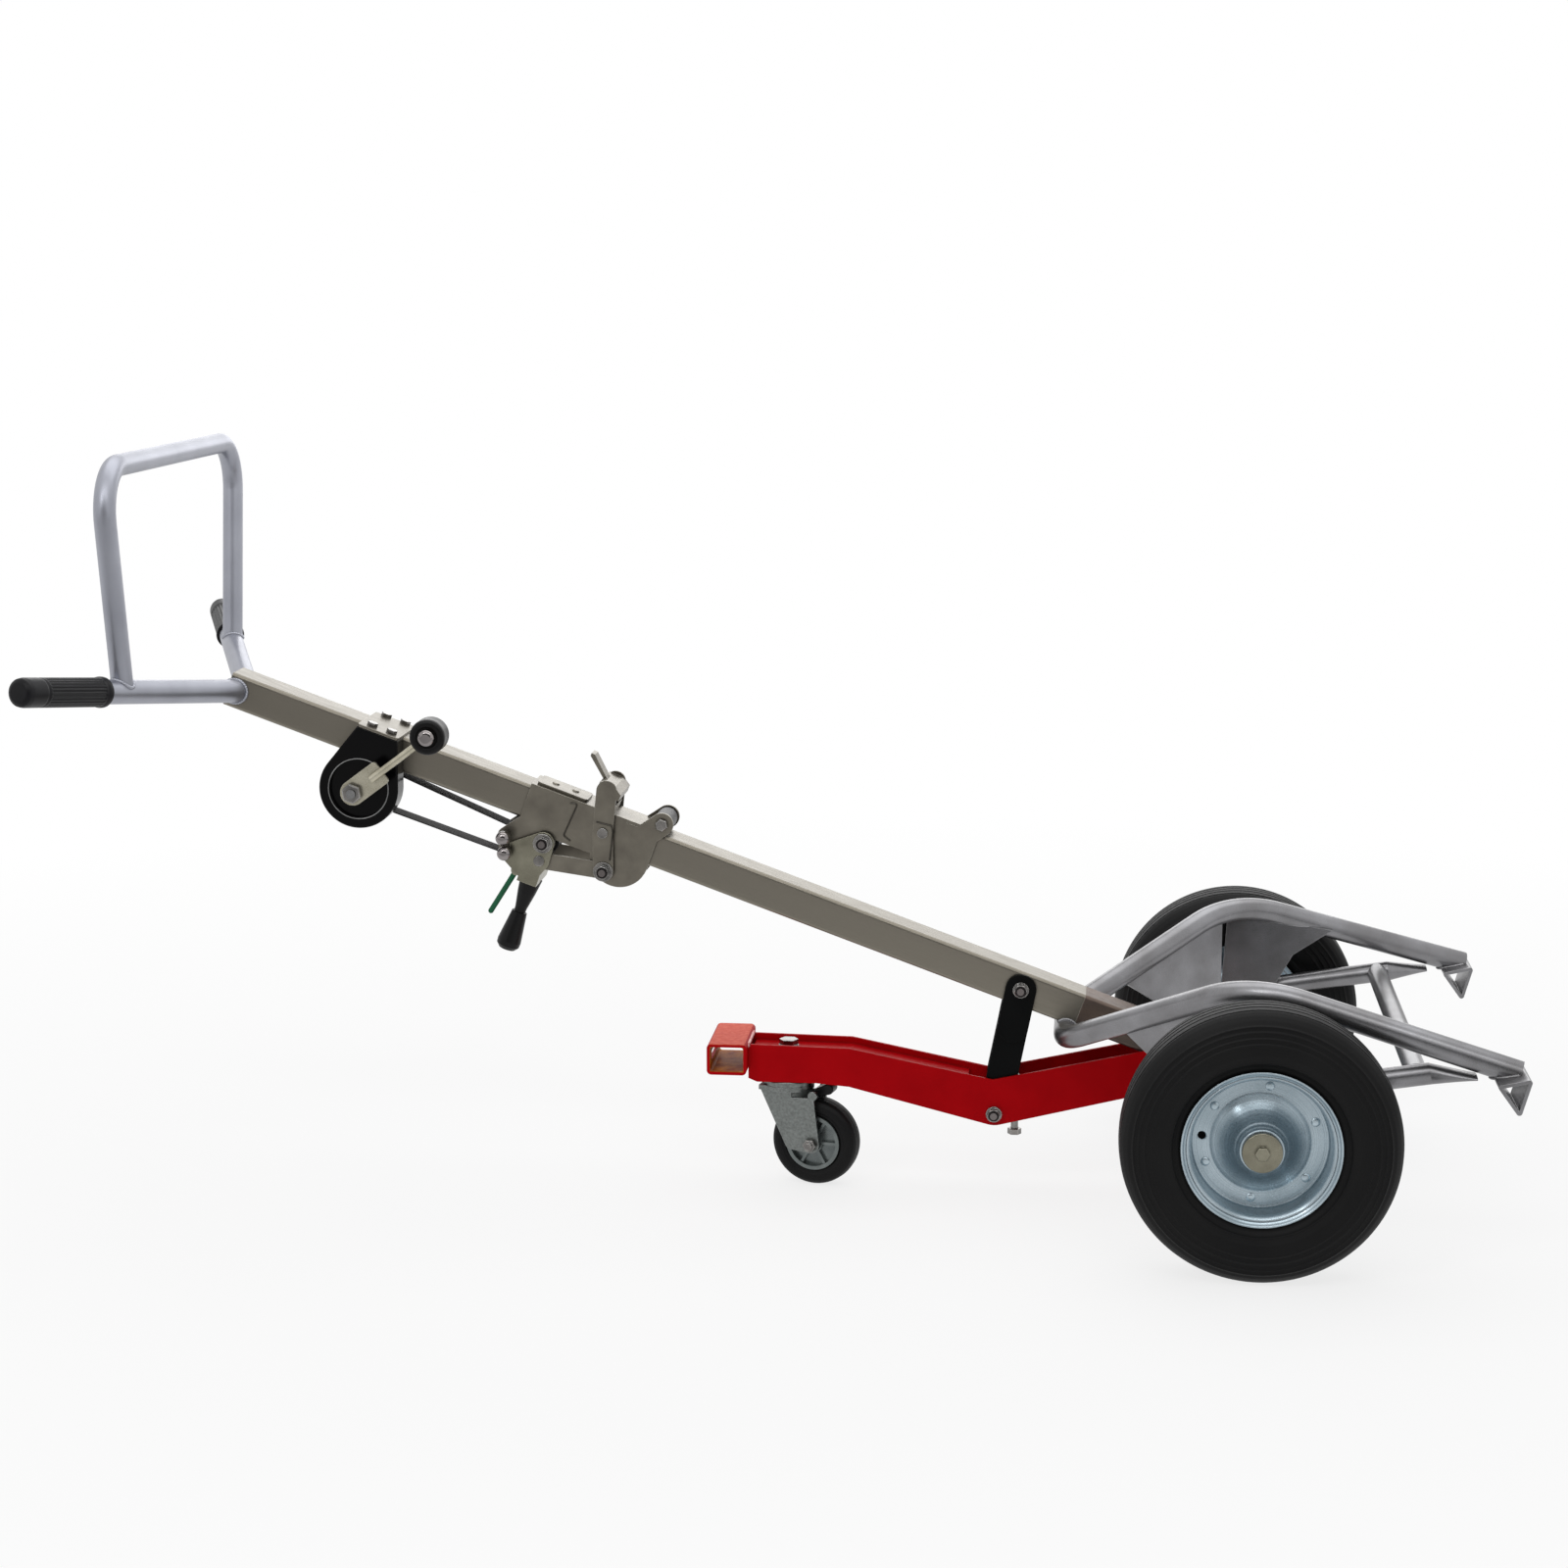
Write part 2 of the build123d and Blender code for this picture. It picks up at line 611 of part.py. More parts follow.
def cradle_tube():
    """Bent tube with plugged ends, cut to sit on the feet."""
    bore = swept(CRADLE_PATH, Circle(TUBE_RADIUS - TUBE_WALL))
    tube = CRADLE_SOLID - bore
    heading = CRADLE_PATH % 1
    plug_start = CRADLE_PATH @ 1 - heading * TUBE_END_PLUG
    plug = along(tuple(plug_start), tuple(CRADLE_PATH @ 1), TUBE_RADIUS - TUBE_WALL / 2)
    for piece in pair(plug):
        tube += piece
    for block in pair(under_foot()):
        tube -= block
    return tube.solids().sort_by(SortBy.VOLUME)[-1]


def leg_point(x):
    """Point on the straight middle line of the left leg at a forward position."""
    share = (x - LEG_CORNER[0]) / (LEG_END[0] - LEG_CORNER[0])
    return [a + (b - a) * share for a, b in zip(LEG_CORNER, LEG_END)]


def axle_plate():
    """Left plate that hangs the axle under the leg."""
    shape = outline(
        (-AXLE_PLATE_RADIUS, AXLE_Z),
        (AXLE_PLATE_BACK[0], LEG_CORNER[2] + AXLE_PLATE_BACK[1]),
        (AXLE_PLATE_FRONT, leg_point(AXLE_PLATE_FRONT)[2]),
        (AXLE_PLATE_WAIST[0], leg_point(AXLE_PLATE_WAIST[0])[2] + AXLE_PLATE_WAIST[1]),
        (AXLE_PLATE_TOE[0], AXLE_Z + AXLE_PLATE_TOE[1]),
    )
    shape += disc(0, AXLE_Z, AXLE_PLATE_RADIUS)
    body = plate(shape, PLATE_Y, PLATE_Y + AXLE_PLATE_THICKNESS)
    body -= cross_rod(0, AXLE_Z, AXLE_DIAMETER / 2, PLATE_Y - 1, PLATE_Y + AXLE_PLATE_THICKNESS + 1)
    return (body - CRADLE_SOLID).solids().sort_by(SortBy.VOLUME)[-1]


def leg_gusset():
    """Left gusset standing under the spreading part of the leg."""
    dx = LEG_CORNER[0] - CROSS_X
    dy = LEG_CORNER[1] - CRADLE_CROSS / 2
    span = hypot(dx, dy)
    ux, uy = dx / span, dy / span
    frame = Plane((CROSS_X, CRADLE_CROSS / 2, 0), (ux, uy, 0), (uy, -ux, 0))
    slope = (LEG_CORNER[2] - CROSS_Z) / span
    stop = span - GUSSET_STOP
    foot_z = AXLE_Z - GUSSET_BELOW
    shape = outline(
        (GUSSET_START, CROSS_Z + slope * GUSSET_START),
        (stop, CROSS_Z + slope * stop - TUBE_RADIUS / 2),
        (stop, foot_z),
        (stop - GUSSET_FOOT, foot_z),
    )
    body = extrude(frame * shape, amount=GUSSET_THICKNESS / 2, both=True)
    body -= plate(disc(0, AXLE_Z, AXLE_DIAMETER / 2), 0, TRACK)
    return (body - CRADLE_SOLID).solids().sort_by(SortBy.VOLUME)[-1]


def brace_ends():
    """Start and bend of the left brace."""
    start = (BRACE_START_X, BRACE_Y, AXLE_Z + BRACE_START_RISE)
    bend = (BRACE_BEND_X, BRACE_Y, AXLE_Z + BRACE_BEND_RISE)
    return start, bend


def brace():
    """Left brace, a tube flattened at its front end under the leg."""
    start, bend = brace_ends()
    radius = BRACE_DIAMETER / 2
    tube = along(start, bend, radius)
    under = leg_point(BRACE_FLAT_X)
    flat_z = under[2] - TUBE_RADIUS - BRACE_FLAT_HEIGHT
    heading = Vector(*bend) - Vector(*start)
    round_end = Plane(origin=bend, x_dir=(0, 1, 0), z_dir=heading) * Circle(radius)
    flat_frame = Plane(origin=(BRACE_FLAT_X, under[1], flat_z), x_dir=(0, 1, 0), z_dir=(1, 0, 0))
    flat_end = flat_frame * Ellipse(BRACE_FLAT_WIDTH / 2, BRACE_FLAT_HEIGHT / 2)
    body = tube + loft([round_end, flat_end])
    body -= along(start, bend, radius - BRACE_WALL)
    return (body - CRADLE_SOLID).solids().sort_by(SortBy.VOLUME)[-1]


def cross_tube():
    """Tube between the two braces, coped to them."""
    start, bend = brace_ends()
    share = (CROSS_TUBE_X - start[0]) / (bend[0] - start[0])
    z = start[2] + (bend[2] - start[2]) * share
    radius = BRACE_DIAMETER / 2
    tube = cross_rod(CROSS_TUBE_X, z, radius, -BRACE_Y, BRACE_Y)
    tube -= cross_rod(CROSS_TUBE_X, z, radius - BRACE_WALL, -BRACE_Y - 1, BRACE_Y + 1)
    for solid in pair(along(start, bend, radius)):
        tube -= solid
    return tube.solids().sort_by(SortBy.VOLUME)[-1]


def axle():
    """Straight round bar through the mast shoe and both wheels."""
    end = HUB_OUTER_Y + SIDE_CLEARANCE
    return cross_rod(0, AXLE_Z, AXLE_DIAMETER / 2, -end, end)


def axle_washers():
    """Discs that hold the wheels on."""
    start = HUB_OUTER_Y + SIDE_CLEARANCE
    body = cross_rod(0, AXLE_Z, AXLE_WASHER_DIAMETER / 2, start, start + AXLE_WASHER_THICKNESS)
    body = fillet(body.edges().sort_by(Axis.Y)[-1], AXLE_WASHER_THICKNESS * 0.4)
    return group(pair(body))


def axle_bolts():
    """Bolt heads at the ends of the axle."""
    start = HUB_OUTER_Y + SIDE_CLEARANCE + AXLE_WASHER_THICKNESS
    body = cross_hex(0, AXLE_Z, AXLE_BOLT_FLATS, start, start + AXLE_BOLT_HEIGHT)
    return group(pair(chamfer(body.edges().group_by(Axis.Y)[-1], EDGE_CHAMFER)))


def wheel_piece(profile):
    """Turn a profile of radius and outward offset into the left wheel's place."""
    return Pos(0, TRACK / 2, AXLE_Z) * revolve(profile, axis=Axis.Y)


def tyre():
    """Left tyre seated between the rim flanges."""
    outer = WHEEL_DIAMETER / 2
    seat = RIM_WELL_DIAMETER / 2 + RIM_THICKNESS / 2 + TYRE_FIT
    half = WHEEL_WIDTH / 2
    right = [(seat, RIM_WIDTH / 2 - TYRE_BEAD_INSET)]
    right += [(seat + up * (outer - seat), half * out) for up, out in TYRE_SECTION]
    left = [(r, -o) for r, o in reversed(right)]
    face = outline(*right, *left)
    soft = face.vertices().group_by(Axis.X)[2:]
    return wheel_piece(fillet([v for level in soft for v in level], TYRE_ROUND))


def band(points, thickness):
    """Strip of even thickness along a line of points."""
    return trace(Polyline(*points), line_width=thickness)


def rim():
    """Left pressed rim: well with two flanges, and a riveted flat ring with a bell on each face."""
    well = RIM_WELL_DIAMETER / 2
    flange = RIM_FLANGE_DIAMETER / 2
    half = RIM_WIDTH / 2
    bell = BELL_DIAMETER / 2
    hub_radius = HUB_DIAMETER / 2
    side = [
        (well, 0),
        (well, half - RIM_FLANGE_ROOT),
        (well + RIM_FLANGE_STEP, half - RIM_FLANGE_RISE),
        (flange, half),
    ]
    profile = band([(r, -o) for r, o in reversed(side)] + side[1:], RIM_THICKNESS)
    profile += band([(well, 0), (bell, 0)], RIM_THICKNESS)
    for face in (-1, 1):
        steps = [(hub_radius + up * (bell - hub_radius), face * out * BELL_DEPTH) for up, out in BELL_STEPS]
        profile += band(steps, RIM_THICKNESS)
    body = revolve(profile, axis=Axis.Y)
    body -= Rot(90, 0, 0) * Cylinder(hub_radius, WHEEL_WIDTH * 2)
    proud = RIM_THICKNESS / 2 + RIVET_HEIGHT
    for i in range(RIVET_COUNT):
        x, z = on_ring(RIVET_START + i * 360 / RIVET_COUNT)
        body += cross_rod(x, z, RIVET_DIAMETER / 2, -proud, proud)
    body -= cross_rod(*on_ring(VALVE_ANGLE), VALVE_DIAMETER / 2, -proud, proud)
    return Pos(0, TRACK / 2, AXLE_Z) * body


def hub():
    """Left hub tube turning on the axle."""
    bore = AXLE_DIAMETER / 2 + RUNNING_CLEARANCE
    start = TRACK / 2 - HUB_LENGTH / 2
    body = cross_rod(0, AXLE_Z, HUB_DIAMETER / 2, start, HUB_OUTER_Y)
    return body - cross_rod(0, AXLE_Z, bore, start - 1, HUB_OUTER_Y + 1)


def on_ring(angle):
    """Point on the rivet circle of a rim, from the middle of the wheel."""
    turn = radians(angle)
    return RIVET_CIRCLE / 2 * cos(turn), RIVET_CIRCLE / 2 * sin(turn)


def housing(radius, thickness):
    """Half of the winch housing on the left of the mast, bored for the shaft and the clamp bolts."""
    top = Line((HOUSING_TOP[0], 0), (HOUSING_TOP[1], 0))
    outer = HOUSING_Y + thickness
    body = plate(hull(disc(WINCH_S, WINCH_H, radius), top), HOUSING_Y, outer)
    body = fillet(body.edges().group_by(Axis.Y)[-1], HOUSING_ROUND)
    body -= cross_rod(WINCH_S, WINCH_H, SHAFT_DIAMETER / 2 + RUNNING_CLEARANCE, 0, outer + 1)
    for s in CLAMP_BOLT_S:
        body -= Pos(s, HOUSING_Y + thickness / 2, 0) * Cylinder(CLAMP_BOLT_DIAMETER / 2, 2 * CLAMP_BOLT_DEPTH)
    return body


def right_housing():
    """Thick right half of the winch housing with a round recess in its cover."""
    outer = HOUSING_Y + HOUSING_THICKNESS
    body = housing(HOUSING_RADIUS, HOUSING_THICKNESS)
    body -= cross_rod(WINCH_S, WINCH_H, HOUSING_RECESS_RADIUS, outer - HOUSING_RECESS_DEPTH, outer + 1)
    return MAST * mirror(body, about=Plane.XZ)


def left_housing():
    """Thin left half of the winch housing that carries the end of the shaft."""
    return MAST * housing(LEFT_HOUSING_RADIUS, LEFT_HOUSING_THICKNESS)


def anchor_centre():
    """Place of the strap anchor beside the spool."""
    turn = radians(ANCHOR_ANGLE)
    return WINCH_S + ANCHOR_CIRCLE * cos(turn), WINCH_H + ANCHOR_CIRCLE * sin(turn)


def strap_anchor():
    """Rod fixed in the right housing that the end of the strap is looped over."""
    return MAST * cross_rod(*anchor_centre(), ANCHOR_DIAMETER / 2, -HOUSING_Y, STRAP_HALF + STRAP_SEAT)


def clamp_bolt_places():
    """Places of the clamp bolts along and across the mast."""
    right = -HOUSING_Y - HOUSING_THICKNESS / 2
    left = HOUSING_Y + LEFT_HOUSING_THICKNESS / 2
    return [(s, y) for s in CLAMP_BOLT_S for y in (right, left)]


def winch_clamp_plate():
    """Plate over the mast that the housing halves hang from."""
    start, stop = HOUSING_TOP
    shape = outline((start, 0), (start, CLAMP_THICKNESS), (stop, CLAMP_THICKNESS), (stop, 0))
    body = plate(shape, -HOUSING_Y - HOUSING_THICKNESS, HOUSING_Y + LEFT_HOUSING_THICKNESS)
    body = fillet(body.edges().filter_by(Axis.Z), CLAMP_CORNER)
    for s, y in clamp_bolt_places():
        body -= Pos(s, y, 0) * Cylinder(CLAMP_BOLT_DIAMETER / 2, 4 * CLAMP_THICKNESS)
    return MAST * body


def winch_bolts():
    """Four hexagon bolts through the clamp plate into the housing halves."""
    bolts = []
    length = CLAMP_THICKNESS + CLAMP_BOLT_DEPTH
    for s, y in clamp_bolt_places():
        shank = Pos(s, y, CLAMP_THICKNESS - length / 2) * Cylinder(CLAMP_BOLT_DIAMETER / 2, length)
        head = upright_hex(s, y, CLAMP_BOLT_FLATS, CLAMP_THICKNESS, CLAMP_THICKNESS + CLAMP_HEAD_HEIGHT)
        bolts.append(MAST * (shank + head))
    return group(bolts)


def spool():
    """Core with two flanges on the crank shaft."""
    half = STRAP_HALF + STRAP_SEAT
    body = cross_rod(WINCH_S, WINCH_H, SPOOL_CORE_DIAMETER / 2, -half, half)
    for flange in pair(cross_rod(WINCH_S, WINCH_H, SPOOL_FLANGE_DIAMETER / 2, half, half + SPOOL_FLANGE)):
        body += flange
    end = HOUSING_Y + LEFT_HOUSING_THICKNESS + SHAFT_END
    shoulder = CRANK_Y + CRANK_PLATE_THICKNESS / 2
    body += cross_rod(WINCH_S, WINCH_H, SHAFT_DIAMETER / 2, shoulder, end)
    nut_end = CRANK_Y - CRANK_PLATE_THICKNESS / 2 - CRANK_NUT_HEIGHT - SHAFT_END
    body += cross_rod(WINCH_S, WINCH_H, THREAD_RADIUS, nut_end, shoulder)
    return MAST * body


def strap_winding():
    """Strap wound on the spool as one unbroken spiral band."""
    steps = STRAP_TURN_STEPS * STRAP_TURNS
    start = SPOOL_CORE_DIAMETER / 2 + STRAP_SEAT
    inner = []
    outer = []
    for i in range(steps + 1):
        turn = 2 * pi * STRAP_TURNS * i / steps
        radius = start + STRAP_PITCH * STRAP_TURNS * i / steps
        direction = (cos(turn), sin(turn))
        inner.append((radius * direction[0], radius * direction[1]))
        outer.append(((radius + STRAP_THICKNESS) * direction[0], (radius + STRAP_THICKNESS) * direction[1]))
    turns = zip(inner[STRAP_TURN_STEPS:], outer)
    near = min(hypot(a[0] - b[0], a[1] - b[1]) for a, b in turns)
    print("strap winding: least gap between turns", round(near, 3))
    inside = Spline(*inner)
    outside = Spline(*outer)
    ends = [Line(inner[0], outer[0]), Line(inner[-1], outer[-1])]
    face = make_face([inside, outside, *ends])
    return MAST * plate(Pos(WINCH_S, WINCH_H) * face, -STRAP_HALF, STRAP_HALF)


def tangent_normal(first, first_radius, second, second_radius, side):
    """Unit normal of the line that touches two circles on one side."""
    dx, dz = second[0] - first[0], second[1] - first[1]
    span = hypot(dx, dz)
    ex, ez = dx / span, dz / span
    lift = asin((first_radius - second_radius) / span)
    return (sin(lift) * ex - side * cos(lift) * ez, sin(lift) * ez + side * cos(lift) * ex)


def offset_point(centre, normal, radius):
    """Point at a distance from a centre along a normal."""
    return centre[0] + normal[0] * radius, centre[1] + normal[1] * radius


def arc_points(centre, start, end, radius, turns):
    """Points round a centre between two normals, turning clockwise."""
    turn_back = atan2(start[1], start[0]) - atan2(end[1], end[0])
    if turn_back < 0:
        turn_back += 2 * pi
    points = []
    for i in range(turns + 1):
        turn = -turn_back * i / turns
        nx = start[0] * cos(turn) - start[1] * sin(turn)
        nz = start[0] * sin(turn) + start[1] * cos(turn)
        points.append((centre[0] + nx * radius, centre[1] + nz * radius, nx, nz))
    return points


def strap_line():
    """Points and outward normals along the strap from the spool round both rollers to the anchor."""
    spool_at = (WINCH_S, WINCH_H)
    upper = (CARRIAGE_S + STRAP_PIN_UPPER[0], STRAP_PIN_UPPER[1])
    lower = (CARRIAGE_S + STRAP_PIN_LOWER[0], STRAP_PIN_LOWER[1])
    anchor = anchor_centre()
    wrap = STRAP_ROLLER_RADIUS + STRAP_SEAT + STRAP_THICKNESS / 2
    lift = WOUND_RADIUS + STRAP_SEAT + STRAP_THICKNESS / 2
    hold = ANCHOR_DIAMETER / 2 + STRAP_SEAT + STRAP_THICKNESS / 2
    top = tangent_normal(spool_at, lift, upper, wrap, 1)
    right = tangent_normal(upper, wrap, lower, wrap, 1)
    bottom = tangent_normal(lower, wrap, anchor, hold, 1)
    back = (-bottom[0], -bottom[1])
    points = [(*offset_point(spool_at, top, lift), *top)]
    points += arc_points(upper, top, right, wrap, STRAP_ARC_STEPS)
    points += arc_points(lower, right, bottom, wrap, STRAP_ARC_STEPS)
    points += arc_points(anchor, bottom, back, hold, STRAP_ARC_STEPS)
    return points


def strap():
    """Two strands of strap between the winch and the carriage, in one band."""
    half = STRAP_THICKNESS / 2
    line = strap_line()
    outer = [(x + nx * half, z + nz * half) for x, z, nx, nz in line]
    inner = [(x - nx * half, z - nz * half) for x, z, nx, nz in line]
    return MAST * plate(outline(*outer, *reversed(inner)), -STRAP_HALF, STRAP_HALF)


def crank_point(reach):
    """Point on the middle line of the crank."""
    turn = radians(CRANK_ANGLE)
    return WINCH_S + reach * cos(turn), WINCH_H + reach * sin(turn)


def crank_plate():
    """Flat plate clamped on the crank shaft, round at the shaft and square at its other end."""
    tongue = Pos(CRANK_PLATE_REACH / 2, 0) * Rectangle(CRANK_PLATE_REACH, CRANK_PLATE_WIDTH)
    tongue = fillet(tongue.vertices().group_by(Axis.X)[-1], CRANK_PLATE_CORNER)
    shape = Circle(CRANK_PLATE_WIDTH / 2) + tongue - Circle(THREAD_RADIUS)
    half = CRANK_PLATE_THICKNESS / 2
    placed = Pos(WINCH_S, WINCH_H) * Rot(0, 0, CRANK_ANGLE) * shape
    return MAST * plate(placed, CRANK_Y - half, CRANK_Y + half)


def crank_rod():
    """Rod from the crank plate with its end turned out as the pin of the knob."""
    start = crank_point(CRANK_ROD_OVERLAP)
    end = crank_point(CRANK_RADIUS)
    pin_end = KNOB_Y - KNOB_LENGTH - SIDE_CLEARANCE
    path = FilletPolyline(
        (start[0], ROD_Y, start[1]),
        (end[0], ROD_Y, end[1]),
        (end[0], pin_end, end[1]),
        radius=CRANK_ROD_BEND,
    )
    return MAST * swept(path, Circle(CRANK_ROD_DIAMETER / 2))


def crank_nut():
    """Hexagon nut on the end of the crank shaft."""
    start = CRANK_Y - CRANK_PLATE_THICKNESS / 2
    body = cross_hex(WINCH_S, WINCH_H, CRANK_NUT_FLATS, start - CRANK_NUT_HEIGHT, start)
    body = chamfer(body.edges().group_by(Axis.Y)[0], CRANK_NUT_CHAMFER)
    return MAST * (body - cross_rod(WINCH_S, WINCH_H, THREAD_RADIUS, 2 * CRANK_Y, start + 1))


def crank_knob():
    """Round knob that turns on the end of the crank rod."""
    x, z = crank_point(CRANK_RADIUS)
    body = cross_rod(x, z, KNOB_DIAMETER / 2, KNOB_Y - KNOB_LENGTH, KNOB_Y)
    body = fillet(body.edges().filter_by(GeomType.CIRCLE), KNOB_ROUND)
    bore = CRANK_ROD_DIAMETER / 2 + RUNNING_CLEARANCE
    return MAST * (body - cross_rod(x, z, bore, KNOB_Y - KNOB_LENGTH - 1, KNOB_Y + 1))


def knob_cap():
    """Domed cap on the end of the pin that keeps the knob on."""
    x, z = crank_point(CRANK_RADIUS)
    start = KNOB_Y - KNOB_LENGTH - SIDE_CLEARANCE
    return MAST * dome(x, z, KNOB_CAP_DIAMETER / 2, KNOB_CAP_HEIGHT, start, -1)


def on_carriage(point):
    """Carriage point in the mast frame."""
    return CARRIAGE_S + point[0], point[1]


def carriage_disc(point, radius):
    """Round outline about a carriage point."""
    return disc(*on_carriage(point), radius)


def carriage_outline(*points):
    """Closed outline through carriage points."""
    return outline(*[on_carriage(p) for p in points])


def carriage_rod(point, radius, y0, y1):
    """Round bar across the carriage."""
    return cross_rod(*on_carriage(point), radius, y0, y1)


def carriage_side():
    """Outline of a side plate of the carriage: wall, tail for the strap pins, lobe and roller ear."""
    end = CARRIAGE_WALL_LENGTH
    low = -CARRIAGE_SKIRT
    shape = carriage_outline((0, CARRIAGE_ROOF), (0, low), (end, low), (end, CARRIAGE_ROOF))
    shape += hull(
        carriage_disc(STRAP_PIN_UPPER, STRAP_ROLLER_RADIUS + PIN_EDGE),
        carriage_disc(STRAP_PIN_LOWER, STRAP_ROLLER_RADIUS + PIN_EDGE),
        carriage_disc(LEVER_BOLT, LEVER_BOLT_EDGE),
        carriage_disc(CARRIAGE_TAIL, CARRIAGE_TAIL_RADIUS),
    )
    left = CARRIAGE_LOBE[0] - CARRIAGE_LOBE_RADIUS
    right = CARRIAGE_LOBE[0] + CARRIAGE_LOBE_RADIUS
    wall = carriage_outline((left, 0), (left, CARRIAGE_LOBE[1]), (right, CARRIAGE_LOBE[1]), (right, 0))
    shape += wall + carriage_disc(CARRIAGE_LOBE, CARRIAGE_LOBE_RADIUS)
    ear_start = right - 2 * CARRIAGE_EAR_RADIUS
    ear_root = carriage_outline(
        (ear_start, 0), (ear_start, -CARRIAGE_EAR_DROP), (right, -CARRIAGE_EAR_DROP), (right, 0)
    )
    return shape + hull(carriage_disc(ROLLER_BOLT, CARRIAGE_EAR_RADIUS), ear_root)


def carriage_body():
    """Sheet folded over the mast: roof and two side plates with their holes."""
    side = plate(carriage_side(), CARRIAGE_INSIDE, CARRIAGE_OUTSIDE)
    body = mirror(side, about=Plane.XZ) + side
    roof = carriage_outline(
        (0, CARRIAGE_CLEARANCE), (0, CARRIAGE_ROOF),
        (CARRIAGE_TOP_LENGTH, CARRIAGE_ROOF), (CARRIAGE_TOP_LENGTH, CARRIAGE_CLEARANCE),
    )
    body += plate(roof, -CARRIAGE_OUTSIDE, CARRIAGE_OUTSIDE)
    holes = [
        (LEVER_BOLT, LEVER_BOLT_DIAMETER),
        (ROLLER_BOLT, ROLLER_BOLT_DIAMETER),
        (STRAP_PIN_UPPER, STRAP_PIN_DIAMETER),
        (STRAP_PIN_LOWER, STRAP_PIN_DIAMETER),
        (HOOK_PIVOT, ROLLER_BOLT_DIAMETER),
    ]
    for point, diameter in holes:
        body -= carriage_rod(point, diameter / 2, -MAST_WIDTH, MAST_WIDTH)
    return MAST * body


def carriage_pad():
    """Raised plate on the roof of the carriage with two rivet heads."""
    half = PAD_WIDTH / 2
    end = PAD_START + PAD_LENGTH
    top = CARRIAGE_ROOF + PAD_THICKNESS
    base = carriage_outline((PAD_START, CARRIAGE_ROOF), (PAD_START, top), (end, top), (end, CARRIAGE_ROOF))
    body = plate(base, -half, half)
    body = fillet(body.edges().filter_by(Axis.Z), PAD_CORNER)
    for share in PAD_RIVETS:
        s = CARRIAGE_S + PAD_START + PAD_LENGTH * share
        rivet = Pos(s, 0, top + PAD_RIVET_HEIGHT / 2) * Cylinder(PAD_RIVET_RADIUS, PAD_RIVET_HEIGHT)
        body += fillet(rivet.edges().sort_by(Axis.Z)[-1], PAD_RIVET_HEIGHT * DOME_ROUND)
    return MAST * body


def rim_ledge():
    """Upright strip that catches the rim of the load."""
    top = CARRIAGE_ROOF + LEDGE_HEIGHT
    shape = carriage_outline(
        (LEDGE_S, CARRIAGE_ROOF), (LEDGE_S, top),
        (LEDGE_S + LEDGE_THICKNESS, top), (LEDGE_S + LEDGE_THICKNESS, CARRIAGE_ROOF),
    )
    return MAST * plate(shape, -MAST_SIDE, MAST_SIDE)


def lever_bolt():
    """Bolt across the carriage for the lower guide roller and the lever."""
    radius = LEVER_BOLT_DIAMETER / 2
    washer_start = ARM_OUTER_Y + WASHER_GAP
    nut_start = washer_start + WASHER_THICKNESS
    nut_end = nut_start + NUT_HEIGHT
    bolt = carriage_rod(LEVER_BOLT, radius, -nut_end - BOLT_END, nut_end + BOLT_END)
    spacer = carriage_rod(LEVER_BOLT, radius + SPACER_EDGE, CARRIAGE_OUTSIDE, ARM_Y - SHOULDER_GAP)
    washer = carriage_rod(LEVER_BOLT, radius + WASHER_EDGE, washer_start, nut_start)
    nut = cross_hex(*on_carriage(LEVER_BOLT), NUT_FLATS, nut_start, nut_end)
    for piece in pair(spacer) + pair(washer) + pair(nut):
        bolt += piece
    return MAST * bolt


def roller_bolt():
    """Bolt of the upper guide roller."""
    radius = ROLLER_BOLT_DIAMETER / 2
    end = CARRIAGE_OUTSIDE + ROLLER_BOLT_HEAD
    bolt = carriage_rod(ROLLER_BOLT, radius, -CARRIAGE_OUTSIDE, CARRIAGE_OUTSIDE)
    head = cross_hex(*on_carriage(ROLLER_BOLT), ROLLER_BOLT_FLATS, CARRIAGE_OUTSIDE, end)
    for piece in pair(chamfer(head.edges().group_by(Axis.Y)[-1], EDGE_CHAMFER)):
        bolt += piece
    return MAST * bolt


def hook_studs():
    """Two shouldered studs on the side plates that the hook swings on."""
    radius = ROLLER_BOLT_DIAMETER / 2
    head_start = ARM_OUTER_Y + WASHER_GAP
    stud = carriage_rod(HOOK_PIVOT, radius, CARRIAGE_INSIDE, head_start)
    stud += carriage_rod(HOOK_PIVOT, radius + SPACER_EDGE, CARRIAGE_OUTSIDE, ARM_Y - SHOULDER_GAP)
    stud += carriage_rod(HOOK_PIVOT, radius + HOOK_HEAD_EDGE, head_start, head_start + WASHER_THICKNESS)
    return group([MAST * piece for piece in pair(stud)])


def strap_pins():
    """Two pins across the tail of the carriage for the strap rollers, the upper one in sleeves."""
    radius = STRAP_PIN_DIAMETER / 2
    reach = STRAP_PIN_REACH
    upper = carriage_rod(STRAP_PIN_UPPER, radius, -reach, reach)
    lower = carriage_rod(STRAP_PIN_LOWER, radius, -reach, reach)
    for sleeve in pair(carriage_rod(STRAP_PIN_UPPER, radius + SLEEVE_WALL, CARRIAGE_OUTSIDE, reach)):
        upper += sleeve
    return group([MAST * upper, MAST * lower])


def dome_nuts():
    """Domed nuts on both ends of the strap pins."""
    nuts = []
    for point in (STRAP_PIN_UPPER, STRAP_PIN_LOWER):
        nuts += pair(dome(*on_carriage(point), DOME_NUT_RADIUS, DOME_NUT_HEIGHT, STRAP_PIN_REACH, 1))
    return group([MAST * nut for nut in nuts])


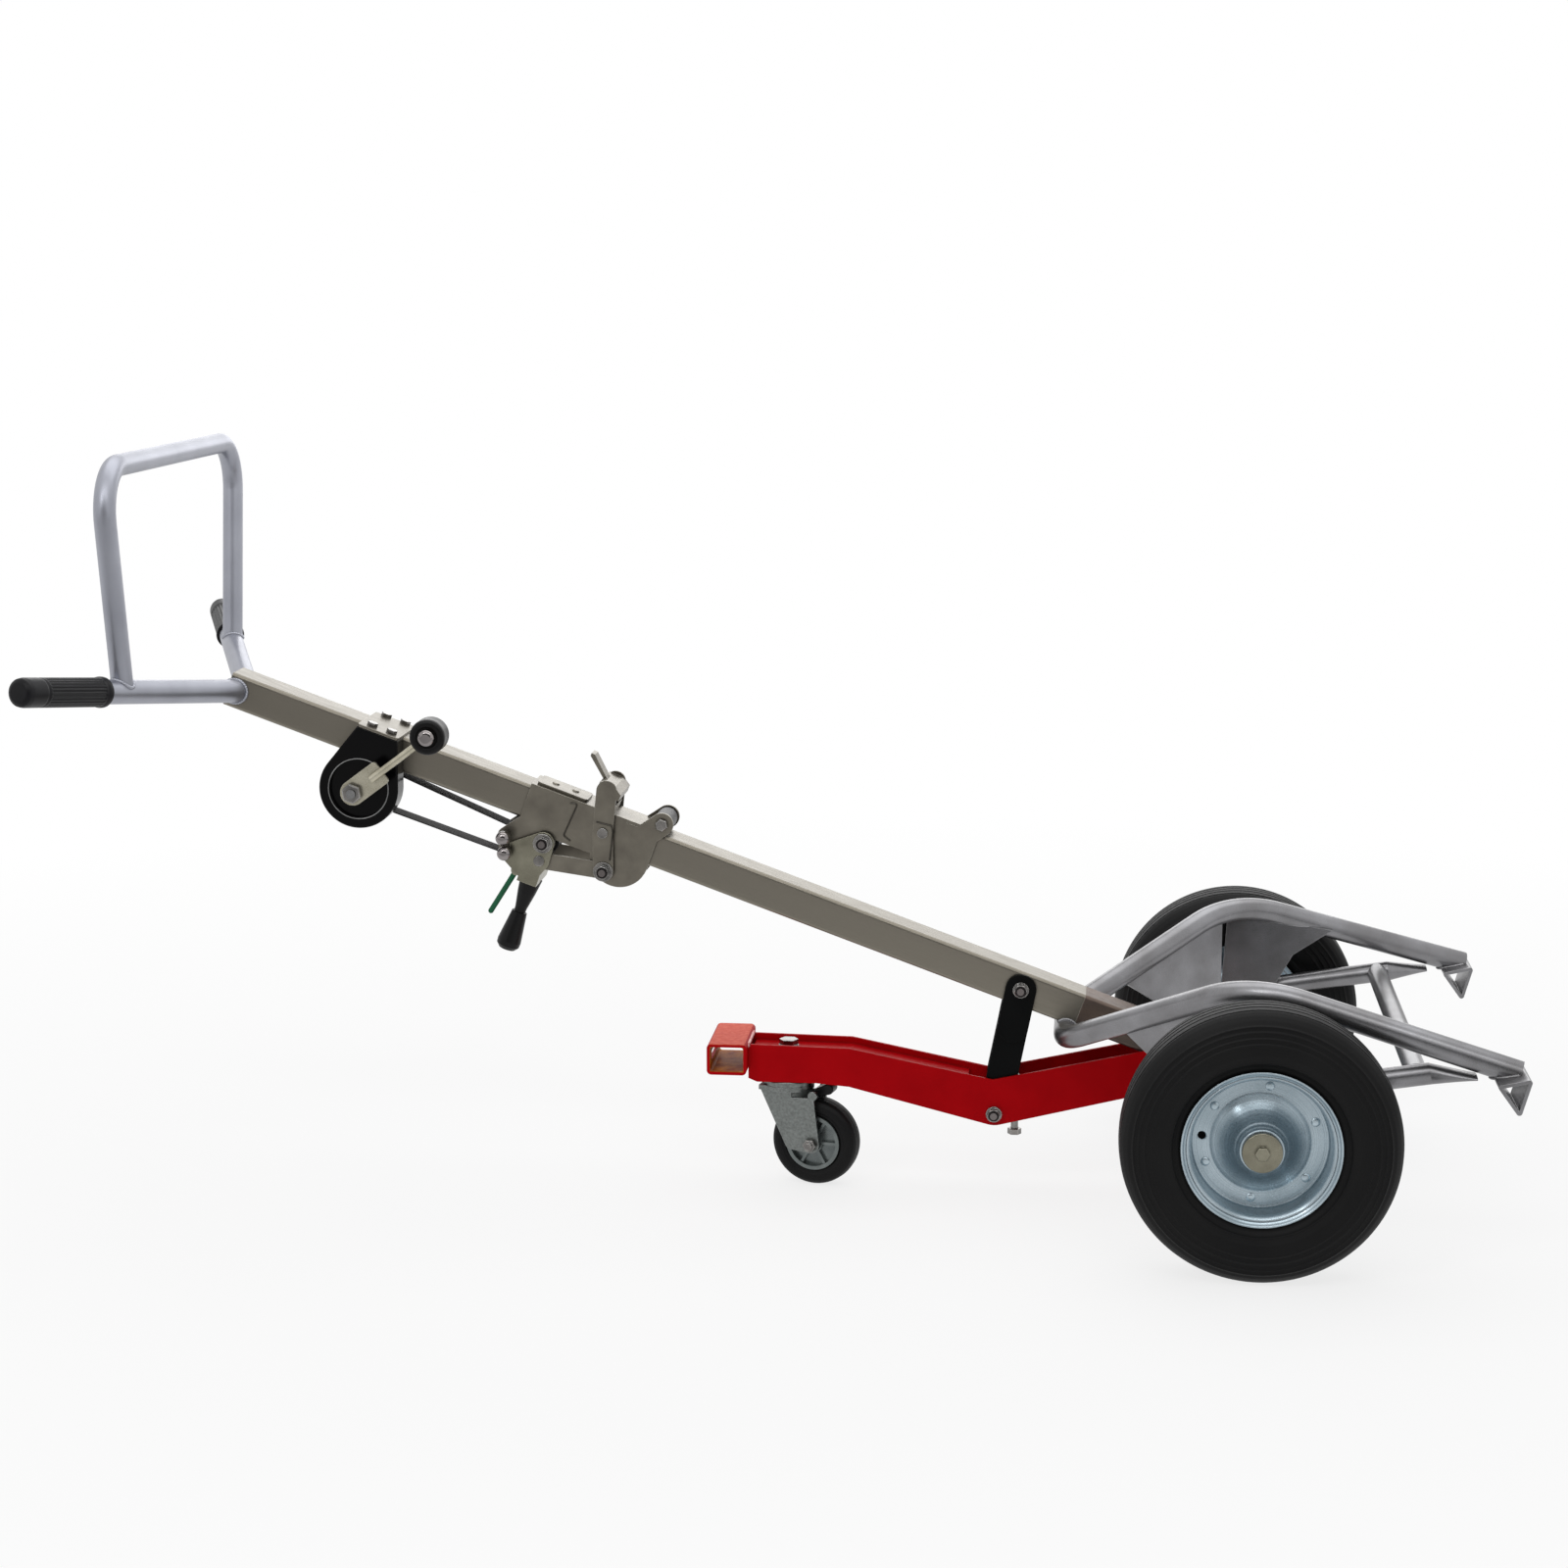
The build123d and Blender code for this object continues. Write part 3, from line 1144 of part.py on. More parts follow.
def roller(point, radius, bore, half):
    """Plain roller on a pin of the carriage."""
    body = carriage_rod(point, radius, -half, half)
    body = chamfer(body.edges().filter_by(GeomType.CIRCLE), EDGE_CHAMFER)
    return MAST * (body - carriage_rod(point, bore + RUNNING_CLEARANCE, -half - 1, half + 1))


def lower_guide_roller():
    """Roller under the mast."""
    return roller(LEVER_BOLT, LOWER_ROLLER[1], LEVER_BOLT_DIAMETER / 2, ROLLER_LENGTH / 2)


def upper_guide_roller():
    """Roller on top of the mast."""
    return roller(ROLLER_BOLT, UPPER_ROLLER[1], ROLLER_BOLT_DIAMETER / 2, ROLLER_LENGTH / 2)


def strap_roller(point):
    """Roller that the strap runs round."""
    return roller(point, STRAP_ROLLER_RADIUS, STRAP_PIN_DIAMETER / 2, ROLLER_LENGTH / 2)


def bent_wire(points, y):
    """Wire bent through carriage points in one upright plane."""
    path = FilletPolyline(*[(CARRIAGE_S + s, y, h) for s, h in points], radius=WIRE_BEND)
    return MAST * swept(path, Circle(WIRE_DIAMETER / 2))


def roof_wire():
    """Bent wire lying on the right side plate."""
    return bent_wire(ROOF_WIRE, -CARRIAGE_OUTSIDE - WIRE_DIAMETER / 2)


def lever_shape():
    """Outline of a lever plate with its open latch notch."""
    shape = hull(
        carriage_disc(STRAP_PIN_LOWER, LATCH_EDGE),
        carriage_disc(LEVER_BOLT, LEVER_BOLT_EDGE),
        carriage_disc(LEVER_PIN, LEVER_PIN_EDGE),
        carriage_disc((LEVER_HANDLE_S, LEVER_BLOCK_H), LEVER_BLOCK[1] / 2),
    )
    notch = STRAP_PIN_DIAMETER / 2 + LATCH_FIT
    mouth = offset_point(STRAP_PIN_LOWER, LATCH_HEADING, LATCH_MOUTH)
    return shape - hull(carriage_disc(STRAP_PIN_LOWER, notch), carriage_disc(mouth, notch + LATCH_FLARE))


def lever_yoke():
    """Two lever plates joined by a block, with lugs for the release lever."""
    side = plate(lever_shape(), ARM_Y, ARM_OUTER_Y)
    side -= carriage_rod(LEVER_BOLT, LEVER_BOLT_DIAMETER / 2 + PIN_FIT, 0, MAST_WIDTH)
    side -= carriage_rod(LEVER_PIN, STRAP_PIN_DIAMETER / 2, 0, MAST_WIDTH)
    body = side + mirror(side, about=Plane.XZ)
    x, z = on_carriage((LEVER_HANDLE_S, LEVER_BLOCK_H))
    body += Pos(x, 0, z) * Box(LEVER_BLOCK[0], 2 * ARM_OUTER_Y, LEVER_BLOCK[1])
    pivot_x, pivot_z = on_carriage(RELEASE_PIVOT)
    root = disc(x - LEVER_BLOCK[0] / 2, z, LUG_RADIUS)
    lug = plate(hull(disc(pivot_x, pivot_z, LUG_RADIUS), root), *LUG_SPAN)
    for piece in pair(lug):
        body += piece
    for hole in pair(cross_rod(pivot_x, pivot_z, RELEASE_PIN_DIAMETER / 2, LUG_SPAN[0] - 1, LUG_SPAN[1] + 1)):
        body -= hole
    return MAST * body


def lever_pin():
    """Pin between the lever plates that the links turn on, with low round heads."""
    radius = STRAP_PIN_DIAMETER / 2
    pin = carriage_rod(LEVER_PIN, radius, -ARM_OUTER_Y, ARM_OUTER_Y)
    for head in pair(dome(*on_carriage(LEVER_PIN), radius + PIN_HEAD_EDGE, PIN_HEAD_HEIGHT, ARM_OUTER_Y, 1)):
        pin += head
    return MAST * pin


def lever_handle():
    """Tapered handle and knob hanging from the lever block."""
    top = LEVER_BLOCK_H - LEVER_BLOCK[1] / 2
    right = [(radius, top + share * (HANDLE_TIP_H - top)) for radius, share in HANDLE_PROFILE]
    profile = make_face(Plane.XZ * Polyline((0, top), *right, (0, HANDLE_TIP_H), close=True))
    return MAST * (Pos(CARRIAGE_S + LEVER_HANDLE_S, 0, 0) * revolve(profile, axis=Axis.Z))


def release_lever():
    """Slim lever hinged beside the handle."""
    x, z = on_carriage(RELEASE_PIVOT)
    tip_x, tip_z = on_carriage(RELEASE_TIP)
    radius = RELEASE_DIAMETER / 2
    half = LUG_SPAN[0] - SIDE_CLEARANCE
    body = along((x, 0, z), (tip_x, 0, tip_z), radius)
    body += Pos(tip_x, 0, tip_z) * Sphere(radius)
    body += cross_rod(x, z, RELEASE_BOSS, -half, half)
    return MAST * (body - cross_rod(x, z, RELEASE_PIN_DIAMETER / 2 + RUNNING_CLEARANCE, -half - 1, half + 1))


def release_pin():
    """Pin of the release lever in the lugs of the lever."""
    x, z = on_carriage(RELEASE_PIVOT)
    return MAST * cross_rod(x, z, RELEASE_PIN_DIAMETER / 2, -LUG_SPAN[1], LUG_SPAN[1])


def links():
    """Two flat links between the lever and the hook, slotted at the hook end."""
    shape = hull(carriage_disc(LEVER_PIN, LINK_EDGE), carriage_disc(LINK_PIN, LINK_EDGE))
    shape -= carriage_disc(LEVER_PIN, STRAP_PIN_DIAMETER / 2 + PIN_FIT)
    dx, dz = LINK_PIN[0] - LEVER_PIN[0], LINK_PIN[1] - LEVER_PIN[1]
    span = hypot(dx, dz)
    hole = ROLLER_BOLT_DIAMETER / 2 + LINK_FIT
    shift = (LINK_SLOT * dx / span, LINK_SLOT * dz / span)
    slot_start = offset_point(LINK_PIN, shift, -1)
    slot_end = offset_point(LINK_PIN, shift, 1)
    shape -= hull(carriage_disc(slot_start, hole), carriage_disc(slot_end, hole))
    return group([MAST * piece for piece in pair(plate(shape, LINK_Y, LINK_Y + LINK_THICKNESS))])


def link_studs():
    """Two headed studs on the hook arms that the links pull on."""
    radius = ROLLER_BOLT_DIAMETER / 2
    washer_end = ARM_OUTER_Y + WASHER_THICKNESS
    stud = carriage_rod(LINK_PIN, radius, LINK_Y, washer_end + NUT_HEIGHT + BOLT_END)
    stud += carriage_rod(LINK_PIN, radius + WASHER_EDGE, ARM_OUTER_Y, washer_end)
    stud += cross_hex(*on_carriage(LINK_PIN), NUT_FLATS, washer_end, washer_end + NUT_HEIGHT)
    return group([MAST * piece for piece in pair(stud)])


def hook():
    """Two arms joined above the mast by a claw with a finger tab."""
    shape = hull(carriage_disc(LINK_PIN, HOOK_EDGE), carriage_disc(HOOK_PIVOT, HOOK_EDGE))
    shape += hull(carriage_disc(HOOK_PIVOT, HOOK_EDGE), carriage_disc(HOOK_TOP, HOOK_EDGE))
    arm = plate(shape, ARM_Y, ARM_OUTER_Y)
    arm -= carriage_rod(HOOK_PIVOT, ROLLER_BOLT_DIAMETER / 2 + PIN_FIT, 0, MAST_WIDTH)
    arm -= carriage_rod(LINK_PIN, ROLLER_BOLT_DIAMETER / 2, 0, MAST_WIDTH)
    claw = outline(*[on_carriage(offset_point(HOOK_TOP, p, 1)) for p in HOOK_CLAW])
    tab = outline(*[on_carriage(offset_point(HOOK_TOP, p, 1)) for p in HOOK_TAB])
    body = arm + mirror(arm, about=Plane.XZ) + plate(claw, -ARM_OUTER_Y, ARM_OUTER_Y)
    return MAST * (body + plate(tab, -HOOK_TAB_WIDTH / 2, HOOK_TAB_WIDTH / 2))


def hook_spring():
    """Bent spring wire lying on the right arm of the hook."""
    return bent_wire(HOOK_SPRING, -ARM_OUTER_Y - WIRE_DIAMETER / 2)


def arm_side():
    """Outline of a wall of the support arm."""
    bottom = CASTER_TOP
    front = outline(
        (ARM_FRONT_X, bottom + ARM_FRONT_HEIGHT),
        (ARM_BREAK_X, bottom + ARM_BREAK_HEIGHT),
        (KNEE_X, KNEE_Z + KNEE_RADIUS),
        (KNEE_X, KNEE_Z),
        (CASTER_X + CASTER_SEAT, bottom),
        (CASTER_X - CASTER_SEAT, bottom),
        (ARM_FRONT_X, bottom + ARM_TOE),
    )
    knee = disc(KNEE_X, KNEE_Z, KNEE_RADIUS)
    heel = disc(CASTER_X + CASTER_SEAT + ARM_HEEL, bottom + ARM_HEEL, ARM_HEEL / 2)
    return front + hull(knee, heel) + hull(knee, disc(ARM_X, ARM_Z, ARM_END_RADIUS))


def arm_rear_point(along_arm, below):
    """Point along the rear half of the arm, below its middle line."""
    dx, dz = ARM_X - KNEE_X, ARM_Z - KNEE_Z
    span = hypot(dx, dz)
    ex, ez = dx / span, dz / span
    return KNEE_X + ex * along_arm + ez * below, KNEE_Z + ez * along_arm - ex * below


def support_arm():
    """Folded channel: two walls, a web between them in front and another under the rear half."""
    wall = plate(arm_side(), ARM_INSIDE, ARM_OUTSIDE)
    body = wall + mirror(wall, about=Plane.XZ)
    front_z = CASTER_TOP + ARM_FRONT_HEIGHT - ARM_WEB_DROP
    break_z = CASTER_TOP + ARM_BREAK_HEIGHT - ARM_WEB_DROP
    knee_top = KNEE_Z + KNEE_RADIUS - ARM_WEB_DROP
    stop_x = KNEE_X - KNEE_RADIUS - ARM_WALL
    slope = (knee_top - break_z) / (KNEE_X - ARM_BREAK_X)
    stop_z = break_z + slope * (stop_x - ARM_BREAK_X)
    upper = [(ARM_FRONT_X + ARM_WALL, front_z), (ARM_BREAK_X, break_z), (stop_x, stop_z)]
    lower = [(x, z - ARM_WALL) for x, z in reversed(upper)]
    body += plate(outline(*upper, *lower), -ARM_OUTSIDE, ARM_OUTSIDE)
    seat = Pos(CASTER_X, CASTER_TOP + ARM_WALL / 2) * Rectangle(2 * CASTER_SEAT, ARM_WALL)
    body += plate(seat, -ARM_OUTSIDE, ARM_OUTSIDE)
    start, stop = REAR_WEB_SPAN
    start_drop, stop_drop = REAR_WEB_DROP
    low = [arm_rear_point(start, start_drop), arm_rear_point(stop, stop_drop)]
    high = [arm_rear_point(stop, stop_drop - ARM_WALL), arm_rear_point(start, start_drop - ARM_WALL)]
    body += plate(outline(*low, *high), -ARM_OUTSIDE, ARM_OUTSIDE)
    for x, z in ((KNEE_X, KNEE_BOLT_Z), (ARM_X, ARM_Z)):
        body -= cross_rod(x, z, FRAME_BOLT_DIAMETER / 2, -MAST_WIDTH, MAST_WIDTH)
    body -= Pos(CASTER_X, 0, CASTER_TOP) * Cylinder(CASTER_BOLT_DIAMETER / 2, 4 * ARM_FRONT_HEIGHT)
    return body - Pos(STOP_BOLT_X, 0, KNEE_Z) * Cylinder(STOP_BOLT_DIAMETER / 2, 4 * KNEE_RADIUS)


def pedal_box():
    """Short square tube across the front of the arm, slotted in its front wall."""
    inner = RectangleRounded(PEDAL_DEPTH - 2 * PEDAL_WALL, PEDAL_HEIGHT - 2 * PEDAL_WALL, PEDAL_CORNER / 2)
    ring = RectangleRounded(PEDAL_DEPTH, PEDAL_HEIGHT, PEDAL_CORNER) - inner
    x = ARM_FRONT_X - PEDAL_DEPTH / 2
    z = PEDAL_TOP - PEDAL_HEIGHT / 2
    body = plate(Pos(x, z) * ring, -PEDAL_WIDTH / 2, PEDAL_WIDTH / 2)
    slot = extrude(Plane.YZ * SlotOverall(*PEDAL_SLOT), amount=2 * PEDAL_WALL)
    return body - Pos(ARM_FRONT_X - PEDAL_DEPTH - PEDAL_WALL / 2, 0, z) * slot


def strut_point(share):
    """Point along the strut from its mast bolt to its knee bolt."""
    return STRUT_X + (KNEE_X - STRUT_X) * share, STRUT_Z + (KNEE_BOLT_Z - STRUT_Z) * share


def strut():
    """Channel whose ears straddle the mast and whose foot sits inside the arm."""
    jog = strut_point(STRUT_JOG)
    waist = strut_point(STRUT_WAIST)
    knee = strut_point(1)
    ear_shape = hull(disc(STRUT_X, STRUT_Z, STRUT_RADIUS), disc(*jog, STRUT_RADIUS))
    ear = plate(ear_shape, HOUSING_Y, STRUT_OUTSIDE)
    low_out = ARM_INSIDE - STRUT_FIT
    low_in = low_out - STRUT_PLATE
    low_shape = hull(disc(*jog, STRUT_RADIUS), disc(*waist, STRUT_RADIUS), disc(*knee, STRUT_FOOT_RADIUS))
    jog_in, jog_out = low_in + STRUT_WEB_INSET, STRUT_OUTSIDE - STRUT_WEB_INSET
    side = ear + plate(disc(*jog, STRUT_JOG_RADIUS), jog_in, jog_out) + plate(low_shape, low_in, low_out)
    body = side + mirror(side, about=Plane.XZ)
    dx, dz = knee[0] - jog[0], knee[1] - jog[1]
    normal = (dz / hypot(dx, dz), -dx / hypot(dx, dz))
    far = STRUT_RADIUS - STRUT_WEB_INSET
    near = far - STRUT_PLATE
    web = outline(
        offset_point(jog, normal, near),
        offset_point(jog, normal, far),
        offset_point(waist, normal, far),
        offset_point(waist, normal, near),
    )
    body += plate(web, -jog_in, jog_in)
    for x, z in ((STRUT_X, STRUT_Z), knee):
        body -= cross_rod(x, z, FRAME_BOLT_DIAMETER / 2, -MAST_WIDTH, MAST_WIDTH)
    return body


def through_bolt(x, z, outside):
    """Bolt across the truck with a washer and a hexagon nut at each end."""
    radius = FRAME_BOLT_DIAMETER / 2
    nut_start = outside + WASHER_THICKNESS
    nut_end = nut_start + NUT_HEIGHT
    bolt = cross_rod(x, z, radius, -nut_end - BOLT_END, nut_end + BOLT_END)
    washer = cross_rod(x, z, radius + FRAME_WASHER_EDGE, outside, nut_start)
    nut = cross_hex(x, z, NUT_FLATS, nut_start, nut_end)
    nut = chamfer(nut.edges().group_by(Axis.Y)[-1], EDGE_CHAMFER)
    for piece in pair(washer) + pair(nut):
        bolt += piece
    return bolt


def frame_bolts():
    """Bolts of the strut and of the support arm."""
    bolts = [
        through_bolt(STRUT_X, STRUT_Z, STRUT_OUTSIDE),
        through_bolt(KNEE_X, KNEE_BOLT_Z, ARM_OUTSIDE),
        through_bolt(ARM_X, ARM_Z, ARM_OUTSIDE),
    ]
    return group(bolts)


def stop_bolt():
    """Upright bolt behind the strut with a domed top."""
    radius = STOP_BOLT_DIAMETER / 2
    shank = Pos(STOP_BOLT_X, 0, (STOP_BOLT_BOTTOM + STOP_BOLT_TOP) / 2)
    body = shank * Cylinder(radius, STOP_BOLT_TOP - STOP_BOLT_BOTTOM)
    body += upright_hex(STOP_BOLT_X, 0, NUT_FLATS, STOP_BOLT_BOTTOM - NUT_HEIGHT, STOP_BOLT_BOTTOM)
    cap = Pos(STOP_BOLT_X, 0, STOP_BOLT_TOP) * Cylinder(STOP_CAP_RADIUS, STOP_CAP_HEIGHT)
    return body + fillet(cap.edges().sort_by(Axis.Z)[-1], STOP_CAP_HEIGHT / 2)


def caster_bolt():
    """Upright bolt that holds the caster under the arm, with its nut under the fork."""
    radius = CASTER_BOLT_DIAMETER / 2
    share = (CASTER_X - ARM_FRONT_X) / (ARM_BREAK_X - ARM_FRONT_X)
    web_z = CASTER_TOP + ARM_FRONT_HEIGHT - ARM_WEB_DROP + (ARM_BREAK_HEIGHT - ARM_FRONT_HEIGHT) * share
    head_z = web_z + ARM_FIT + WASHER_THICKNESS
    nut_z = FORK_TOP - CASTER_CROWN - CASTER_GAP
    low = nut_z - CASTER_NUT_HEIGHT
    body = Pos(CASTER_X, 0, (head_z + low) / 2) * Cylinder(radius, head_z - low)
    washer = Cylinder(radius + CASTER_WASHER_EDGE, WASHER_THICKNESS)
    body += Pos(CASTER_X, 0, head_z - WASHER_THICKNESS / 2) * washer
    body += upright_hex(CASTER_X, 0, CASTER_NUT_FLATS, head_z, head_z + CASTER_NUT_HEIGHT)
    return body + upright_hex(CASTER_X, 0, CASTER_NUT_FLATS, low, nut_z)


def caster_head():
    """Upper race of the swivel, fixed under the arm."""
    z = CASTER_TOP - CASTER_HEAD_HEIGHT
    middle = Pos(CASTER_X, 0, z + CASTER_HEAD_HEIGHT / 2)
    body = middle * Cylinder(CASTER_HEAD_DIAMETER / 2, CASTER_HEAD_HEIGHT)
    body = fillet(body.edges().sort_by(Axis.Z)[-1], CASTER_HEAD_HEIGHT * 0.4)
    return body - Pos(CASTER_X, 0, CASTER_TOP) * Cylinder(CASTER_BOLT_DIAMETER / 2, 4 * CASTER_HEAD_HEIGHT)


def caster_fork():
    """Round crown and two legs of the caster, with the brake pin in ears above the wheel."""
    half = CASTER_HEAD_DIAMETER / 2
    top = Line((CASTER_X + FORK_FRONT, FORK_TOP), (CASTER_X + FORK_BACK, FORK_TOP))
    toe = disc(CASTER_AXLE_X - FORK_TOE, CASTER_Z, FORK_TOE_RADIUS)
    leg = hull(top, disc(CASTER_AXLE_X, CASTER_Z, FORK_EYE), toe)
    notch = Pos(CASTER_X + FORK_NOTCH[0] + half, FORK_TOP) * Rectangle(2 * half, 2 * FORK_NOTCH[1])
    leg = leg - notch + disc(*BRAKE_PIN, BRAKE_PIN_DIAMETER)
    side = plate(leg, FORK_INSIDE, FORK_OUTSIDE)
    body = side + mirror(side, about=Plane.XZ)
    crown_z = FORK_TOP - CASTER_CROWN / 2
    body += Pos(CASTER_X, 0, crown_z) * Cylinder(half, CASTER_CROWN)
    length = FORK_NOTCH[0] - FORK_FRONT
    body += Pos(CASTER_X + FORK_FRONT + length / 2, 0, crown_z) * Box(length, 2 * FORK_OUTSIDE, CASTER_CROWN)
    bore = CASTER_BOLT_DIAMETER / 2 + RUNNING_CLEARANCE
    body -= Pos(CASTER_X, 0, FORK_TOP) * Cylinder(bore, 4 * CASTER_CROWN)
    body += cross_rod(*BRAKE_PIN, BRAKE_PIN_DIAMETER / 2, -FORK_OUTSIDE, FORK_OUTSIDE)
    return body - cross_rod(CASTER_AXLE_X, CASTER_Z, CASTER_AXLE_DIAMETER / 2, -MAST_WIDTH, MAST_WIDTH)


def caster_axle():
    """Axle bolt of the caster with spacers beside the wheel."""
    radius = CASTER_AXLE_DIAMETER / 2
    nut_end = FORK_OUTSIDE + NUT_HEIGHT
    body = cross_rod(CASTER_AXLE_X, CASTER_Z, radius, -nut_end - BOLT_END, nut_end + BOLT_END)
    nut = cross_hex(CASTER_AXLE_X, CASTER_Z, NUT_FLATS, FORK_OUTSIDE, nut_end)
    nut = chamfer(nut.edges().group_by(Axis.Y)[-1], EDGE_CHAMFER)
    spacer_start = CASTER_WIDTH / 2 + SIDE_CLEARANCE
    spacer = cross_rod(CASTER_AXLE_X, CASTER_Z, radius + SPACER_EDGE, spacer_start, FORK_INSIDE)
    for piece in pair(nut) + pair(spacer):
        body += piece
    return body


def caster_brake():
    """Small brake tab hinged on the fork above the tyre."""
    x, z = BRAKE_PIN
    pad = disc(x + BRAKE_REACH, z + BRAKE_RISE, BRAKE_PAD_RADIUS)
    shape = hull(disc(x, z, BRAKE_EYE), pad)
    body = plate(shape, -BRAKE_WIDTH / 2, BRAKE_WIDTH / 2)
    body = fillet(body.edges().group_by(Axis.Y)[0], BRAKE_ROUND)
    bore = BRAKE_PIN_DIAMETER / 2 + RUNNING_CLEARANCE
    return body - cross_rod(x, z, bore, -BRAKE_WIDTH, BRAKE_WIDTH)


def caster_tyre():
    """Solid tyre of the caster."""
    half = CASTER_WIDTH / 2
    body = cross_rod(CASTER_AXLE_X, CASTER_Z, CASTER_DIAMETER / 2, -half, half)
    body = fillet(body.edges().filter_by(GeomType.CIRCLE), CASTER_TYRE_ROUND)
    return body - cross_rod(CASTER_AXLE_X, CASTER_Z, CASTER_RIM_DIAMETER / 2, -half - 1, half + 1)


def caster_rim():
    """Centre of the caster wheel, recessed between rim and hub with radial ribs in the recess."""
    half = CASTER_WIDTH / 2
    outer = CASTER_RIM_DIAMETER / 2
    inner = outer - CASTER_RIM_EDGE
    floor = half - CASTER_RECESS
    middle = Pos(CASTER_AXLE_X, 0, CASTER_Z)
    body = cross_rod(CASTER_AXLE_X, CASTER_Z, outer, -half, half)
    recess = cross_rod(CASTER_AXLE_X, CASTER_Z, inner, floor, half + 1)
    recess -= cross_rod(CASTER_AXLE_X, CASTER_Z, CASTER_HUB_RADIUS, floor - 1, half + 2)
    rib_depth = CASTER_RECESS - CASTER_RIB_INSET
    for i in range(CASTER_RIBS):
        rib = Pos(inner / 2, floor + rib_depth / 2, 0) * Box(inner + 1, rib_depth, CASTER_RIB)
        recess -= middle * Rot(0, i * 360 / CASTER_RIBS, 0) * rib
    for piece in pair(recess):
        body -= piece
    bore = CASTER_AXLE_DIAMETER / 2 + RUNNING_CLEARANCE
    return body - cross_rod(CASTER_AXLE_X, CASTER_Z, bore, -half - 1, half + 1)


def turned(piece):
    """A piece of the caster turned about the swivel to where it trails at rest."""
    return Pos(CASTER_X, 0, 0) * Rot(0, 0, CASTER_TURN) * Pos(-CASTER_X, 0, 0) * piece


def both(name, left_piece):
    """Left and right nodes of a mirrored piece."""
    return {name + "_left": left_piece, name + "_right": mirror(left_piece, about=Plane.XZ)}


def assembly():
    """Every piece of the truck under its name."""
    pieces = {
        "mast_tube": mast_tube(),
        "mast_shoe": mast_shoe(),
        "mast_plug": mast_plug(),
        "handle_bars": group([handle_bar(1), handle_bar(-1)]),
        "handle_loop": handle_loop(),
        "grip_left": grip(1),
        "grip_right": grip(-1),
        "cradle_tube": cradle_tube(),
        "cross_tube": cross_tube(),
        "axle": axle(),
        "axle_caps": group([axle_washers(), axle_bolts()]),
        "winch_clamp_plate": winch_clamp_plate(),
        "winch_fasteners": group([strap_anchor(), winch_bolts()]),
        "spool": spool(),
        "strap_winding": strap_winding(),
        "strap": strap(),
        "crank_plate": crank_plate(),
        "crank_rod": crank_rod(),
        "crank_nut": crank_nut(),
        "crank_knob": crank_knob(),
        "knob_cap": knob_cap(),
        "carriage_body": carriage_body(),
        "carriage_pad": carriage_pad(),
        "rim_ledge": rim_ledge(),
        "carriage_pins": group([lever_bolt(), roller_bolt(), hook_studs(), strap_pins()]),
        "dome_nuts": dome_nuts(),
        "roof_wire": roof_wire(),
        "lower_guide_roller": lower_guide_roller(),
        "upper_guide_roller": upper_guide_roller(),
        "strap_roller_upper": strap_roller(STRAP_PIN_UPPER),
        "strap_roller_lower": strap_roller(STRAP_PIN_LOWER),
        "lever_yoke": lever_yoke(),
        "lever_pins": group([lever_pin(), release_pin()]),
        "lever_handle": lever_handle(),
        "release_lever": release_lever(),
        "links": links(),
        "link_studs": link_studs(),
        "hook": hook(),
        "hook_spring": hook_spring(),
        "support_arm": support_arm(),
        "pedal_box": pedal_box(),
        "strut": strut(),
        "support_bolts": group([frame_bolts(), stop_bolt(), caster_bolt()]),
        "caster_head": caster_head(),
        "caster_fork": turned(caster_fork()),
        "caster_axle": turned(caster_axle()),
        "caster_brake": turned(caster_brake()),
        "caster_tyre": turned(caster_tyre()),
        "caster_rim": turned(caster_rim()),
    }
    pieces["braces"] = group(pair(brace()))
    pieces["feet"] = group(pair(foot()))
    pieces["axle_plates"] = group(pair(axle_plate()) + pair(leg_gusset()))
    pieces["winch_housing_left"] = left_housing()
    pieces["winch_housing_right"] = right_housing()
    pieces.update(both("tyre", tyre()))
    pieces.update(both("rim", rim()))
    pieces.update(both("hub", hub()))
    return pieces


def truck_box(pieces):
    """Box round every piece."""
    return group(pieces.values()).bounding_box()


PIECES = assembly()
BOX = truck_box(PIECES)
SHIFT = Pos(-(BOX.min.X + BOX.max.X) / 2, 0, -BOX.min.Z)
for name, piece in PIECES.items():
    placed = group([SHIFT * solid for solid in piece.solids()])
    export_step(placed, os.path.join("parts", name + ".step"))
print("overall size", [round(v, 1) for v in BOX.size])
print("axle moved to", round(SHIFT.position.X, 3), round(SHIFT.position.Z, 3))
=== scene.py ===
import json
from math import cos, pi, radians, sin, tan

